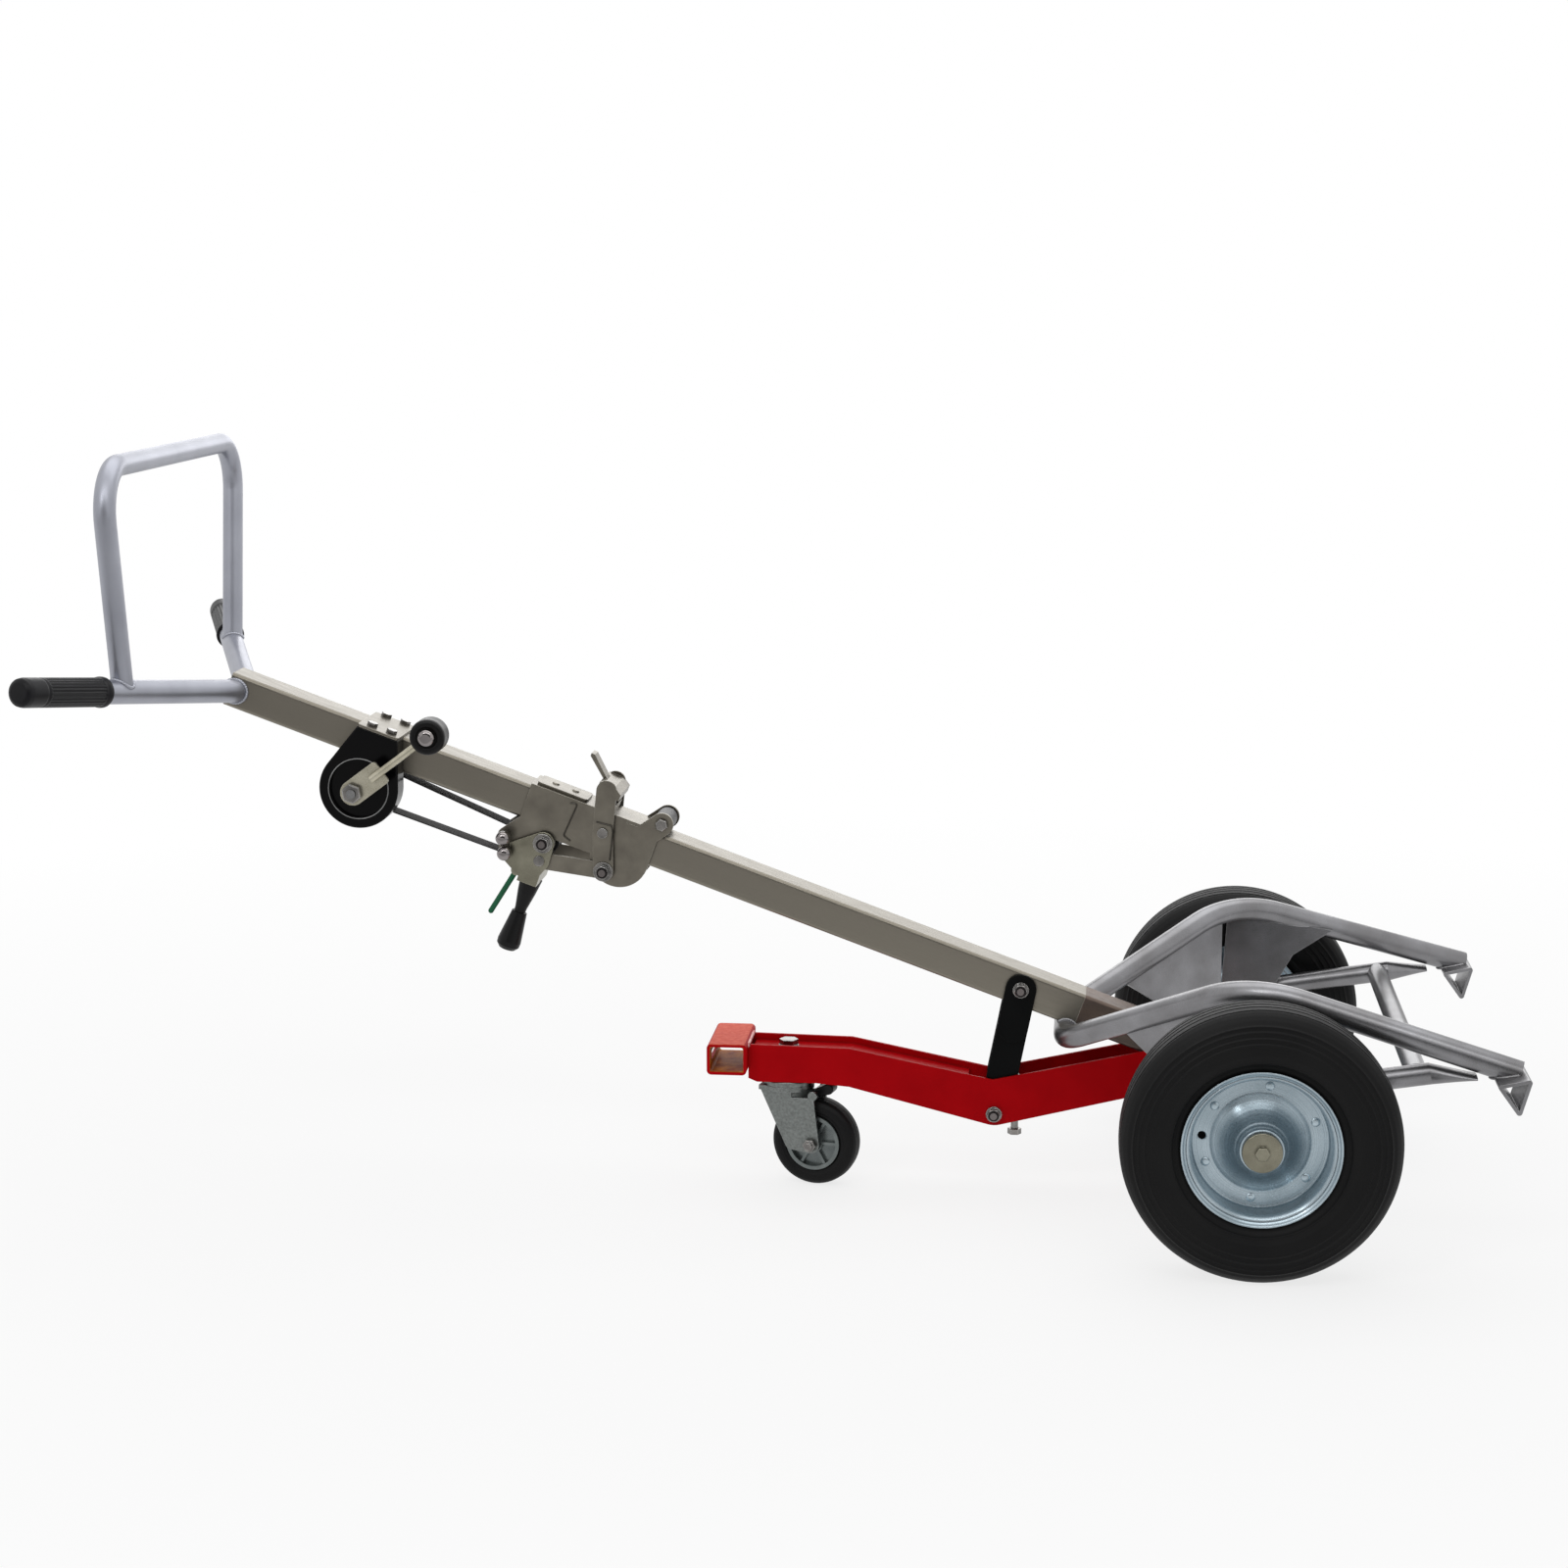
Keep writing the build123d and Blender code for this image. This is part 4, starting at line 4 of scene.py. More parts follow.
import bmesh
import bpy
import numpy as np
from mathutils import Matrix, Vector


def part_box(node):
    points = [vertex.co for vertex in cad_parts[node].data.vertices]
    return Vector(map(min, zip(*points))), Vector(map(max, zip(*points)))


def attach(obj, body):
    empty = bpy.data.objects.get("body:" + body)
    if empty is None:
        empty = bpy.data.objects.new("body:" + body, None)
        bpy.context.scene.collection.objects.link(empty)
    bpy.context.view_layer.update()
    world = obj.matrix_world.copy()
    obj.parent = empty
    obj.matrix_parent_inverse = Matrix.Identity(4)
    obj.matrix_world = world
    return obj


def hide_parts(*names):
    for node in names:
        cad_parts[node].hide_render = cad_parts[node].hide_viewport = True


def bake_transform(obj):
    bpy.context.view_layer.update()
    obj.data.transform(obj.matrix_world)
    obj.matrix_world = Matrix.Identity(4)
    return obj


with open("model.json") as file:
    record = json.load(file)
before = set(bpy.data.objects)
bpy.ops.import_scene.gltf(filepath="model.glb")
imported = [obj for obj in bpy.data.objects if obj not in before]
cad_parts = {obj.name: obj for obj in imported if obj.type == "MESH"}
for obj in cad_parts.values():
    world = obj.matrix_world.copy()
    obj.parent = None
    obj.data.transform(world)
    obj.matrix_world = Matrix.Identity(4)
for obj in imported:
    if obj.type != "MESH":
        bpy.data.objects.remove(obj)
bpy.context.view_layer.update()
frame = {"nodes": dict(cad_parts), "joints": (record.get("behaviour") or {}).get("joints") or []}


# Mast: a rectangular steel tube that leans back from the axle, zinc plated with a faint straw tint.
# The plating is satin, with fine drawing lines along the tube, and its corners are drawn brighter, for both
# rubbed wear and a painted highlight.
MAST_TILT = radians(20)
ALONG_MAST = (0.0, MAST_TILT, 0.0)
MAST_RUN = np.array((cos(MAST_TILT), 0.0, -sin(MAST_TILT)))
MAST_RISE = np.array((sin(MAST_TILT), 0.0, cos(MAST_TILT)))
MAST_TOP_END = np.array((-0.611385, 0.0, 0.555105))
MAST_DEPTH = 0.037
MAST_HALF_WIDTH = 0.023


def on_mast(s, y, h):
    """Place of a point given along the mast, across it and above its top face."""
    s, y, h = np.broadcast_arrays(s, y, h)
    sideways = y[..., None] * np.array((0, 1, 0))
    return MAST_TOP_END + s[..., None] * MAST_RUN + h[..., None] * MAST_RISE + sideways


def colour(red, green, blue):
    """Screen colour from 0 to 255 as the shader's own light values."""
    share = np.array((red, green, blue)) / 255
    return tuple(np.where(share <= 0.04045, share / 12.92, ((share + 0.055) / 1.055) ** 2.4))


def node(tree, kind, links=None, **settings):
    """One shader node with its settings; links gives its inputs values or other sockets."""
    made = tree.nodes.new("ShaderNode" + kind)
    for name, value in settings.items():
        setattr(made, name, value)
    for key, value in (links or {}).items():
        if isinstance(value, bpy.types.NodeSocket):
            tree.links.new(value, made.inputs[key])
        else:
            made.inputs[key].default_value = value
    return made


def place(tree, stretch=(1, 1, 1), turn=(0, 0, 0)):
    """The piece's own coordinates, drawn out by a stretch along turned axes."""
    own = node(tree, "TexCoord").outputs["Object"]
    links = {"Vector": own, "Scale": stretch, "Rotation": turn}
    return node(tree, "Mapping", links, vector_type="TEXTURE").outputs[0]


def noise(tree, scale, detail=3.0, stretch=(1, 1, 1), turn=(0, 0, 0)):
    """Cloudy share from 0 to 1 with a number of features per metre."""
    links = {"Vector": place(tree, stretch, turn), "Scale": scale, "Detail": detail}
    return node(tree, "TexNoise", links).outputs[0]


def between(tree, share, low, high, start=0.3, stop=0.7):
    """A share from start to stop carried to the range from low to high."""
    links = {"Value": share, "From Min": start, "From Max": stop, "To Min": low, "To Max": high}
    return node(tree, "MapRange", links).outputs[0]


def maths(tree, operation, first, second):
    """Two values joined by one operation."""
    return node(tree, "Math", {0: first, 1: second}, operation=operation).outputs[0]


def over(tree, share, under, top):
    """One colour laid over another by a share."""
    made = node(tree, "Mix", data_type="RGBA")
    for index, value in ((0, share), (6, under), (7, top)):
        if isinstance(value, bpy.types.NodeSocket):
            tree.links.new(value, made.inputs[index])
        else:
            made.inputs[index].default_value = (*value, 1.0)
    return made.outputs[2]


def edge_share(tree, width):
    """Softened normal, and a share that rises to 1 on edges about as narrow as a width."""
    soft = node(tree, "Bevel", {"Radius": width}, samples=EDGE_SAMPLES).outputs["Normal"]
    plain = node(tree, "NewGeometry").outputs["Normal"]
    agree = node(tree, "VectorMath", {0: soft, 1: plain}, operation="DOT_PRODUCT").outputs["Value"]
    return soft, between(tree, agree, 1.0, 0.0, *EDGE_AGREEMENT)


def finish(name, tones, rough, patches, relief, wear_and_glint=None, stretch=(1, 1, 1), turn=(0, 0, 0), **constants):
    """Surface of patchy colour and gloss, fine relief, edges for wear and a painted highlight, painted shade
    in creases.

    tones are the two colours of the patches, rough the lowest and highest roughness, patches their number
    per metre, relief the grains per metre and their depth in metres, wear_and_glint the edge width and its
    colour, which stands for both rubbed wear and a painted highlight.
    """
    material = bpy.data.materials.new(name)
    material.use_nodes = True
    tree = material.node_tree
    surface = tree.nodes["Principled BSDF"]
    for key, value in constants.items():
        surface.inputs[key.replace("_", " ").title().replace("Ior", "IOR")].default_value = value
    cloud = noise(tree, patches, PATCH_DETAIL, stretch, turn)
    fine = noise(tree, relief[0], GRAIN_DETAIL, stretch, turn)
    tint = over(tree, between(tree, cloud, 0.0, 1.0), *tones)
    gloss = between(tree, fine, *rough)
    normal = None
    if wear_and_glint:
        # Edges take the given colour, standing for both rubbed wear and a painted highlight.
        normal, rubbed_and_glinting = edge_share(tree, wear_and_glint[0])
        tint = over(tree, maths(tree, "MULTIPLY", rubbed_and_glinting, between(tree, cloud, *EDGE_WEAR_AND_GLINT)), tint, wear_and_glint[1])
        # Painted shade: creases and corners that ambient occlusion finds are darkened towards a dark tone.
        occlusion = node(tree, "AmbientOcclusion", {"Distance": CREASE_SHADE_REACH}, samples=EDGE_SAMPLES).outputs["AO"]
        tint = over(tree, between(tree, occlusion, CREASE_SHADE_SHARE, 0.0, *CREASE_SHADE_SPAN), tint, CREASE_SHADE_TONE)
    bump = node(tree, "Bump", {"Height": fine, "Strength": 1.0, "Distance": relief[1]})
    if normal:
        tree.links.new(normal, bump.inputs["Normal"])
    tree.links.new(tint, surface.inputs["Base Color"])
    tree.links.new(gloss, surface.inputs["Roughness"])
    tree.links.new(bump.outputs[0], surface.inputs["Normal"])
    return material


PATCH_DETAIL = 5.0
GRAIN_DETAIL = 2.0
EDGE_SAMPLES = 4
EDGE_AGREEMENT = (0.80, 0.985)
EDGE_WEAR_AND_GLINT = (0.35, 1.0)
# Painted shade in creases: how far ambient occlusion looks, how much it darkens, its span and its tone.
CREASE_SHADE_REACH = 0.005
CREASE_SHADE_SHARE = 0.6
CREASE_SHADE_SPAN = (0.2, 0.8)
CREASE_SHADE_TONE = colour(24, 22, 20)


def dress(material, *names):
    """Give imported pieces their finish."""
    for name in names:
        frame["nodes"][name].material_slots[0].material = material


zinc_plate = finish(
    "zinc_plate", (colour(118, 113, 104), colour(134, 129, 118)), (0.30, 0.44), 9, (900, 0.00003),
    (0.0012, colour(186, 182, 172)), stretch=(24, 1, 1), turn=ALONG_MAST, metallic=1.0,
)
dress(zinc_plate, "mast_tube", "mast_plug")


# Lower mast shoe: the last length of the tube, left as bare hot-rolled steel, dull and brownish.
# It carries the axle and the bolt of the support arm.
bare_steel = finish(
    "bare_steel", (colour(88, 80, 76), colour(120, 103, 91)), (0.40, 0.60), 26, (700, 0.00005),
    (0.0012, colour(160, 150, 140)), stretch=(5, 1, 1), turn=ALONG_MAST, metallic=1.0,
)
dress(bare_steel, "mast_shoe")


# Handle: two swept steel tubes welded to the sides of the mast and a bent loop welded on top of them.
# They are sprayed with a silver metallic paint, over the rippled weld beads too.
BAR_APEX = 0.017
BAR_SWEEP = radians(21.2)
BAR_END = 0.3543 / cos(BAR_SWEEP)
BAR_RADIUS = 0.0125
POST_RADIUS = 0.01125
POST_BASE = 0.202
POST_RISE = np.array((-0.003, 0.038, 0.2296))
BEAD_SIZE = 0.0021
BEAD_PITCH = 0.0026
BEAD_RIPPLE = (0.86, 0.22)
BEAD_SIDES = 10
WELD_STEPS = 150
UPRIGHT = 0.95
MERGE_DISTANCE = 1e-7
silver_paint = finish(
    "silver_paint", (colour(152, 154, 163), colour(165, 167, 176)), (0.36, 0.46), 18, (2600, 0.00001),
    (0.0010, colour(200, 202, 206)), metallic=0.9,
)
dress(silver_paint, "handle_bars", "handle_loop")


def across(direction):
    """Two unit directions square to a direction and to each other, the first one level."""
    level = np.cross((0, 0, 1), direction) if abs(direction[2]) < UPRIGHT else np.array((1.0, 0.0, 0.0))
    level = level - (level @ direction) * np.array(direction)
    level = level / np.linalg.norm(level)
    return level, np.cross(direction, level)


def circle(steps):
    """Even angles round a full turn."""
    return np.linspace(0, 2 * pi, steps, endpoint=False)


def skin(name, grid, closed_u=False, closed_v=False, uv=None, sharp=40):
    """Piece over one grid of points, or several alike: rows run along u and columns along v.

    Closed directions join up, doubles at the poles are merged and the faces are turned outwards. uv gives
    the values along u and along v, one more than the points where that direction is closed.
    """
    rows, columns = grid.shape[-3:-1]
    copies = grid.reshape(-1, rows, columns, 3).shape[0]
    u, v = np.meshgrid(np.arange(rows - 1 + closed_u), np.arange(columns - 1 + closed_v), indexing="ij")
    u, v = u.ravel(), v.ravel()
    next_u, next_v = (u + 1) % rows, (v + 1) % columns
    here, beyond = u * columns, next_u * columns
    corners = np.stack((here + v, beyond + v, beyond + next_v, here + next_v), 1)
    faces = (np.arange(copies)[:, None, None] * rows * columns + corners).reshape(-1, 4)
    mesh = bpy.data.meshes.new(name)
    mesh.from_pydata(grid.reshape(-1, 3).tolist(), [], faces.tolist())
    if uv:
        corner_u = np.stack((u, u + 1, u + 1, u), 1)
        corner_v = np.stack((v, v, v + 1, v + 1), 1)
        values = np.stack((uv[0][corner_u], uv[1][corner_v]), -1)
        layer = mesh.uv_layers.new(name="surface")
        layer.data.foreach_set("uv", np.tile(values, (copies, 1, 1)).astype(np.float32).ravel())
    work = bmesh.new()
    work.from_mesh(mesh)
    bmesh.ops.remove_doubles(work, verts=work.verts, dist=MERGE_DISTANCE)
    bmesh.ops.recalc_face_normals(work, faces=work.faces)
    work.to_mesh(mesh)
    work.free()
    mesh.shade_smooth()
    mesh.set_sharp_from_angle(angle=radians(sharp))
    piece = bpy.data.objects.new(name, mesh)
    bpy.context.scene.collection.objects.link(piece)
    return piece


def settle(piece, material, slot, body, *nodes):
    """Finish a new piece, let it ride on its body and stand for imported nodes."""
    piece.data.materials.append(material)
    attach(piece, body)
    if nodes:
        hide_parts(*nodes)
    return piece


def round_tube(centre, heading, radius, angles):
    """Ring of points round the middle line of a tube."""
    first, second = across(heading)
    return centre + radius * (np.cos(angles)[:, None] * first + np.sin(angles)[:, None] * second)


def met_by_plane(centre, heading, radius, on, normal, angles):
    """Line where a round tube meets a plane."""
    ring = round_tube(centre, heading, radius, angles)
    return ring + ((on - ring) @ normal / (heading @ normal))[:, None] * heading


def met_by_bar(centre, heading, radius, bar_centre, bar_heading, bar_radius, angles):
    """Line where a round post lands on a round bar."""
    ring = round_tube(centre, heading, radius, angles)
    gap = ring - bar_centre
    gap = gap - (gap @ bar_heading)[:, None] * bar_heading
    climb = heading - (heading @ bar_heading) * bar_heading
    half = gap @ climb
    rest = (gap**2).sum(1) - bar_radius**2
    rise = (np.sqrt(half**2 - climb @ climb * rest) - half) / (climb @ climb)
    return ring + rise[:, None] * heading


def bead_grid(line, square_to, closed):
    """Weld bead along a line, rippled where each drop was laid and tapered at open ends."""
    ahead, behind = np.roll(line, -1, 0), np.roll(line, 1, 0)
    forward = ahead - behind if closed else np.gradient(line, axis=0)
    forward = forward / np.linalg.norm(forward, axis=1)[:, None]
    first = np.cross(forward, square_to)
    first = first / np.linalg.norm(first, axis=1)[:, None]
    second = np.cross(forward, first)
    run = np.concatenate(([0], np.cumsum(np.linalg.norm(np.diff(line, axis=0), axis=1))))
    size = BEAD_SIZE * (BEAD_RIPPLE[0] + BEAD_RIPPLE[1] * np.abs(np.cos(pi * run / BEAD_PITCH)))
    if not closed:
        size = size * np.clip(np.minimum(run, run[-1] - run) / BEAD_SIZE, 0, 1) ** 0.5
    angles = circle(BEAD_SIDES)
    spoke = np.cos(angles)[:, None] * first[:, None] + np.sin(angles)[:, None] * second[:, None]
    return line[:, None] + size[:, None, None] * spoke


def bar_direction(side):
    """Direction of a handle bar, outwards and back from the mast."""
    return -sin(BAR_SWEEP) * MAST_RUN + np.array((0, side * cos(BAR_SWEEP), 0))


handle_welds = []
for side in (1, -1):
    heading = bar_direction(side)
    apex = on_mast(BAR_APEX, 0.0, -MAST_DEPTH / 2)
    beside = on_mast(0.0, side * MAST_HALF_WIDTH, 0.0)
    root = met_by_plane(apex, heading, BAR_RADIUS, beside, np.array((0.0, 1.0, 0.0)), circle(WELD_STEPS))
    handle_welds.append(bead_grid(root, heading, True))
    post = POST_RISE * (1, side, 1) / np.linalg.norm(POST_RISE)
    base = on_mast(BAR_APEX - POST_BASE * tan(BAR_SWEEP), side * POST_BASE, -MAST_DEPTH / 2)
    landing = met_by_bar(base, post, POST_RADIUS, apex, heading, BAR_RADIUS, circle(WELD_STEPS))
    handle_welds.append(bead_grid(landing, post, True))
settle(skin("handle_welds", np.array(handle_welds), True, True), silver_paint, "silver_paint", "frame")


# Grips: closed rubber sleeves pushed over the bar ends, with a collar, fine flutes along the palm
# and a smooth rounded end.
GRIP_LENGTH = 0.130
GRIP_FLUTES = 26
FLUTE_DEPTH = 0.0007
FLUTE_STEPS = 10
PALM = (0.011, 0.095)
GRIP_PROFILE = [
    (0.0127, 0.0), (0.0156, 0.0), (0.0160, 0.002), (0.0160, 0.005), (0.0156, 0.0066), (0.0150, 0.0072),
    (0.0150, 0.098), (0.0144, 0.0985), (0.0144, 0.1005), (0.0150, 0.101), (0.0150, 0.122), (0.0141, 0.1272),
    (0.0105, 0.1297), (0.0, 0.130),
]


def rounded(points, count, soften=2, closed=False):
    """Even points along a line of straight runs, its corners softened by averaging neighbours."""
    points = np.array(points, float)
    if closed:
        points = np.vstack((points, points[:1]))
    run = np.concatenate(([0], np.cumsum(np.linalg.norm(np.diff(points, axis=0), axis=1))))
    stations = np.linspace(0, run[-1], count, endpoint=not closed)
    even = np.stack([np.interp(stations, run, side) for side in points.T], 1)
    for _ in range(soften):
        averaged = (np.roll(even, 1, 0) + 2 * even + np.roll(even, -1, 0)) / 4
        if not closed:
            averaged[[0, -1]] = even[[0, -1]]
        even = averaged
    return even


def turned(radius, along, centre, direction, angles):
    """Grid of a profile carried round an axis: radius and distance along, each a column or a grid."""
    direction = np.array(direction, float)
    first, second = across(direction)
    spoke = np.cos(angles)[:, None] * first + np.sin(angles)[:, None] * second
    radius = np.broadcast_to(radius, (len(radius), len(angles)))
    along = np.broadcast_to(along, (len(along), len(angles)))
    return np.array(centre) + radius[..., None] * spoke + along[..., None] * direction


grip_rubber = finish(
    "grip_rubber", (colour(10, 10, 13), colour(16, 16, 20)), (0.34, 0.50), 40, (1500, 0.00005),
    metallic=0.0, specular_ior_level=0.2,
)
for side, name in ((1, "left"), (-1, "right")):
    heading = bar_direction(side)
    start = on_mast(BAR_APEX, 0.0, -MAST_DEPTH / 2) + (BAR_END - GRIP_LENGTH) * heading
    profile = rounded(GRIP_PROFILE, 150, 1)
    angles = circle(GRIP_FLUTES * FLUTE_STEPS)
    fluted = (profile[:, 1] > PALM[0]) & (profile[:, 1] < PALM[1])
    cut = FLUTE_DEPTH * np.outer(fluted, 0.5 - 0.5 * np.cos(GRIP_FLUTES * angles))
    grid = turned(profile[:, :1] - cut, profile[:, 1:], start, heading, angles)
    grip = skin("grip_sleeve_" + name, grid, closed_v=True)
    settle(grip, grip_rubber, "grip_rubber", "frame", "grip_" + name)


# Cradle: one bent steel tube let into the mast, with cross tube, braces, leg gussets and folded feet
# welded on. It is sprayed with the same silver paint, drawn darker here as painted shade, with edges
# drawn lighter for both wear and a painted highlight.
CRADLE_S = 0.9734
CRADLE_H = -0.044
TUBE_RADIUS = 0.0125
LEG_CORNER = np.array((-0.0093, 0.204, 0.2789))
LEG_END = np.array((0.254, 0.238, 0.2046))
FOOT_BACK = np.array((-0.027, 0.0, -0.0046))
FOOT_FRONT = np.array((0.0084, 0.0, 0.0032))
FOOT_SEAM = np.linspace(pi - 0.1, 2 * pi + 0.1, 70)
CRADLE_SEAM = np.linspace(radians(34), radians(146), 40)
# A darker copy of the silver paint, as painted shade.
shaded_cradle_paint = finish(
    "shaded_cradle_paint", (colour(116, 115, 116), colour(146, 146, 149)), (0.24, 0.38), 20, (2400, 0.00002),
    (0.0010, colour(184, 184, 186)), metallic=0.9,
)
dress(shaded_cradle_paint, "cradle_tube", "cross_tube", "braces", "feet", "axle_plates")


def joint(name):
    """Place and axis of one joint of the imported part."""
    return next(j for j in frame["joints"] if j["name"] == name)


def wheel_facts(side):
    """Middle of a wheel and its outward direction, from the joint that it turns on."""
    name = "left_wheel_spin" if side > 0 else "right_wheel_spin"
    return np.array(joint(name)["pos_m"]), np.array((0.0, side, 0.0))


axle_x = np.array((wheel_facts(1)[0][0], 0.0, 0.0))
foot_welds = []
for side in (1, -1):
    flip = np.array((1, side, 1))
    leg = (LEG_END - LEG_CORNER) * flip
    leg = leg / np.linalg.norm(leg)
    slope = FOOT_FRONT - FOOT_BACK
    normal = np.cross((0, 1, 0), slope)
    leg_end = axle_x + LEG_END * flip
    seat = met_by_plane(leg_end, leg, TUBE_RADIUS, leg_end + FOOT_FRONT, normal, FOOT_SEAM)
    foot_welds.append(bead_grid(seat, leg, False))
settle(skin("foot_welds", np.array(foot_welds), False, True), shaded_cradle_paint, "silver_paint", "frame")
seam_s = CRADLE_S + TUBE_RADIUS * np.cos(CRADLE_SEAM)
seam_h = CRADLE_H + TUBE_RADIUS * np.sin(CRADLE_SEAM)
near_arc = on_mast(seam_s, -MAST_HALF_WIDTH, seam_h)
far_arc = (near_arc * (1, -1, 1))[::-1]
cradle_seam = rounded(np.vstack((near_arc, far_arc)), 200, 1, closed=True)
cradle_weld = skin("cradle_weld", bead_grid(cradle_seam, MAST_RISE, True), True, True)
settle(cradle_weld, shaded_cradle_paint, "silver_paint", "frame")


# Axle: a plain round bar, with a yellow zinc washer and bolt at each end to keep the wheels on.
# The hubs and the winch spool are plain turned steel like the bar.
plain_steel = finish(
    "plain_steel", (colour(120, 120, 120), colour(150, 150, 150)), (0.25, 0.42), 60, (1500, 0.00003),
    metallic=1.0,
)
yellow_zinc = finish(
    "yellow_zinc", (colour(120, 117, 103), colour(148, 145, 129)), (0.24, 0.38), 45, (1600, 0.00002),
    (0.0008, colour(192, 189, 172)), metallic=1.0,
)
dress(plain_steel, "axle", "hub_left", "hub_right", "spool")
dress(yellow_zinc, "axle_caps")


# Tyres: black rubber on pressed rims, with fine moulded rings on the walls and grooves round the tread.
# Each is one moulding that sits between the rolled lips of its rim.
TREAD_GROOVES = (-0.021, -0.0105, 0.0, 0.0105, 0.021)
GROOVE_DEPTH = 0.0022
GROOVE_WIDTH = 0.0012
TREAD_START = 0.133
TREAD_BLEND = 0.004
WALL_RINGS = (0.0880, 0.1080, 0.1140, 0.1200, 0.1255)
RING_HEIGHT = 0.0010
RING_WIDTH = 0.0008
TYRE_HALF = [
    (0.0716, 0.0), (0.0716, 0.0255), (0.0790, 0.0290), (0.0840, 0.0312), (0.0880, 0.0350), (0.0960, 0.0385),
    (0.1060, 0.0398), (0.1160, 0.0392), (0.1250, 0.0365), (0.1305, 0.0330), (0.1345, 0.0285), (0.1375, 0.0235),
    (0.1386, 0.0140), (0.1390, 0.0),
]
tyre_rubber = finish(
    "tyre_rubber", (colour(9, 9, 10), colour(16, 16, 16)), (0.46, 0.62), 18, (1400, 0.00005),
    metallic=0.0, specular_ior_level=0.16,
)


def mirrored(half):
    """Closed profile from a half that starts and ends on the middle plane."""
    return half + [(r, -o) for r, o in reversed(half)][1:-1]


def tyre_grid(side):
    """Tyre profile with its wall rings raised and tread grooves cut, carried round the axle."""
    profile = rounded(mirrored(TYRE_HALF), 440, 3, closed=True)
    radius, out = profile.T
    tread = np.clip((radius - TREAD_START) / TREAD_BLEND, 0, 1)
    groove = sum(np.exp(-(((out - at) / GROOVE_WIDTH) ** 4)) for at in TREAD_GROOVES)
    ring = sum(np.exp(-(((radius - at) / RING_WIDTH) ** 2)) for at in WALL_RINGS)
    radius = radius - GROOVE_DEPTH * groove * tread
    out = out + np.sign(out) * RING_HEIGHT * ring * (1 - tread)
    centre, outward = wheel_facts(side)
    return turned(radius[:, None], out[:, None], centre, outward, circle(144))


for side, name in ((1, "left"), (-1, "right")):
    tyre = skin("tyre_ribbed_" + name, tyre_grid(side), True, True)
    settle(tyre, tyre_rubber, "tyre_rubber", "wheel_" + name, "tyre_" + name)


# Rims: two pressed steel halves, zinc plated with a bluish tint, riveted back to back with six rivets.
# Each has a rolled lip, a flat ring with the valve hole and a trumpet-shaped bell round the hub, spun smooth.
RIM_HALF = [
    (0.0182, 0.0), (0.0182, 0.0365), (0.0214, 0.0365), (0.0222, 0.0358), (0.0226, 0.0330), (0.0232, 0.0318),
    (0.0240, 0.0310), (0.0250, 0.0278), (0.0258, 0.0266), (0.0266, 0.0262), (0.0275, 0.0240), (0.0296, 0.0198),
    (0.0325, 0.0150), (0.0360, 0.0108), (0.0400, 0.0074), (0.0440, 0.0050), (0.0480, 0.0032), (0.0500, 0.0020),
    (0.0660, 0.0018), (0.0672, 0.0026), (0.0678, 0.0050), (0.0682, 0.0220),
    (0.0694, 0.0265), (0.0720, 0.0288), (0.0765, 0.0300), (0.0788, 0.0312), (0.0793, 0.0325), (0.0785, 0.0335),
    (0.0772, 0.0328), (0.0755, 0.0305), (0.0722, 0.0285), (0.0714, 0.0260), (0.0714, 0.0),
]
RIVET_CIRCLE = 0.0575
RIVET_ANGLES = np.radians(22 + 60 * np.arange(6))
RIVET_RADIUS = 0.0044
RIVET_HEIGHT = 0.0016
VALVE_ANGLE = radians(175)
VALVE_RADIUS = 0.0040
VALVE_DEPTH = 0.0015
VALVE_EDGE = 0.0003
VALVE_SPAN = 0.11
# Painted shade: the colour drawn inside the shallow valve hole.
VALVE_HOLE_SHADE = colour(8, 8, 9)
FLAT_RING = 0.004
RIVET_SEAT = 0.0019
LATHE_SHINE = 0.75
LATHE_MARKS = 0.7
LATHE_SHARE = 0.35
LATHE_DARK = colour(96, 108, 116)
RIVET_PROFILE = [(0.0, -0.0006), (1.0, -0.0006), (1.0, 0.35), (0.8, 0.75), (0.5, 0.95), (0.0, 1.0)]
blue_zinc = finish(
    "blue_zinc", (colour(166, 181, 189), colour(186, 200, 208)), (0.24, 0.36), 24, (1200, 0.00002),
    (0.0008, colour(214, 221, 225)), metallic=1.0,
)


def round_spot(tree, centre, radius):
    """1 within a round spot, seen along the axle."""
    own = node(tree, "TexCoord").outputs["Object"]
    level = node(tree, "VectorMath", {0: own, 1: (1, 0, 1)}, operation="MULTIPLY").outputs[0]
    middle = tuple(np.multiply(centre, (1, 0, 1)))
    gap = node(tree, "VectorMath", {0: level, 1: middle}, operation="DISTANCE").outputs["Value"]
    return maths(tree, "LESS_THAN", gap, radius)


def spun(material, hole):
    """The finish with its shine drawn out square to lathe marks, and painted black shade within a round hole.
    """
    made = material.copy()
    tree = made.node_tree
    surface = tree.nodes["Principled BSDF"]
    surface.inputs["Anisotropic"].default_value = LATHE_SHINE
    tangent = node(tree, "Tangent", direction_type="UV_MAP", uv_map="surface").outputs[0]
    tree.links.new(tangent, surface.inputs["Tangent"])
    plain = surface.inputs["Base Color"].links[0].from_socket
    along = node(tree, "SeparateXYZ", {0: node(tree, "UVMap", uv_map="surface").outputs[0]}).outputs["X"]
    grain = {"W": along, "Scale": LATHE_MARKS, "Detail": GRAIN_DETAIL}
    marks = node(tree, "TexNoise", grain, noise_dimensions="1D").outputs[0]
    plain = over(tree, between(tree, marks, 0.0, LATHE_SHARE), plain, LATHE_DARK)
    # Painted shade: the valve hole is drawn black.
    hole_shade = round_spot(tree, hole, VALVE_RADIUS)
    tree.links.new(over(tree, hole_shade, plain, VALVE_HOLE_SHADE), surface.inputs["Base Color"])
    return made


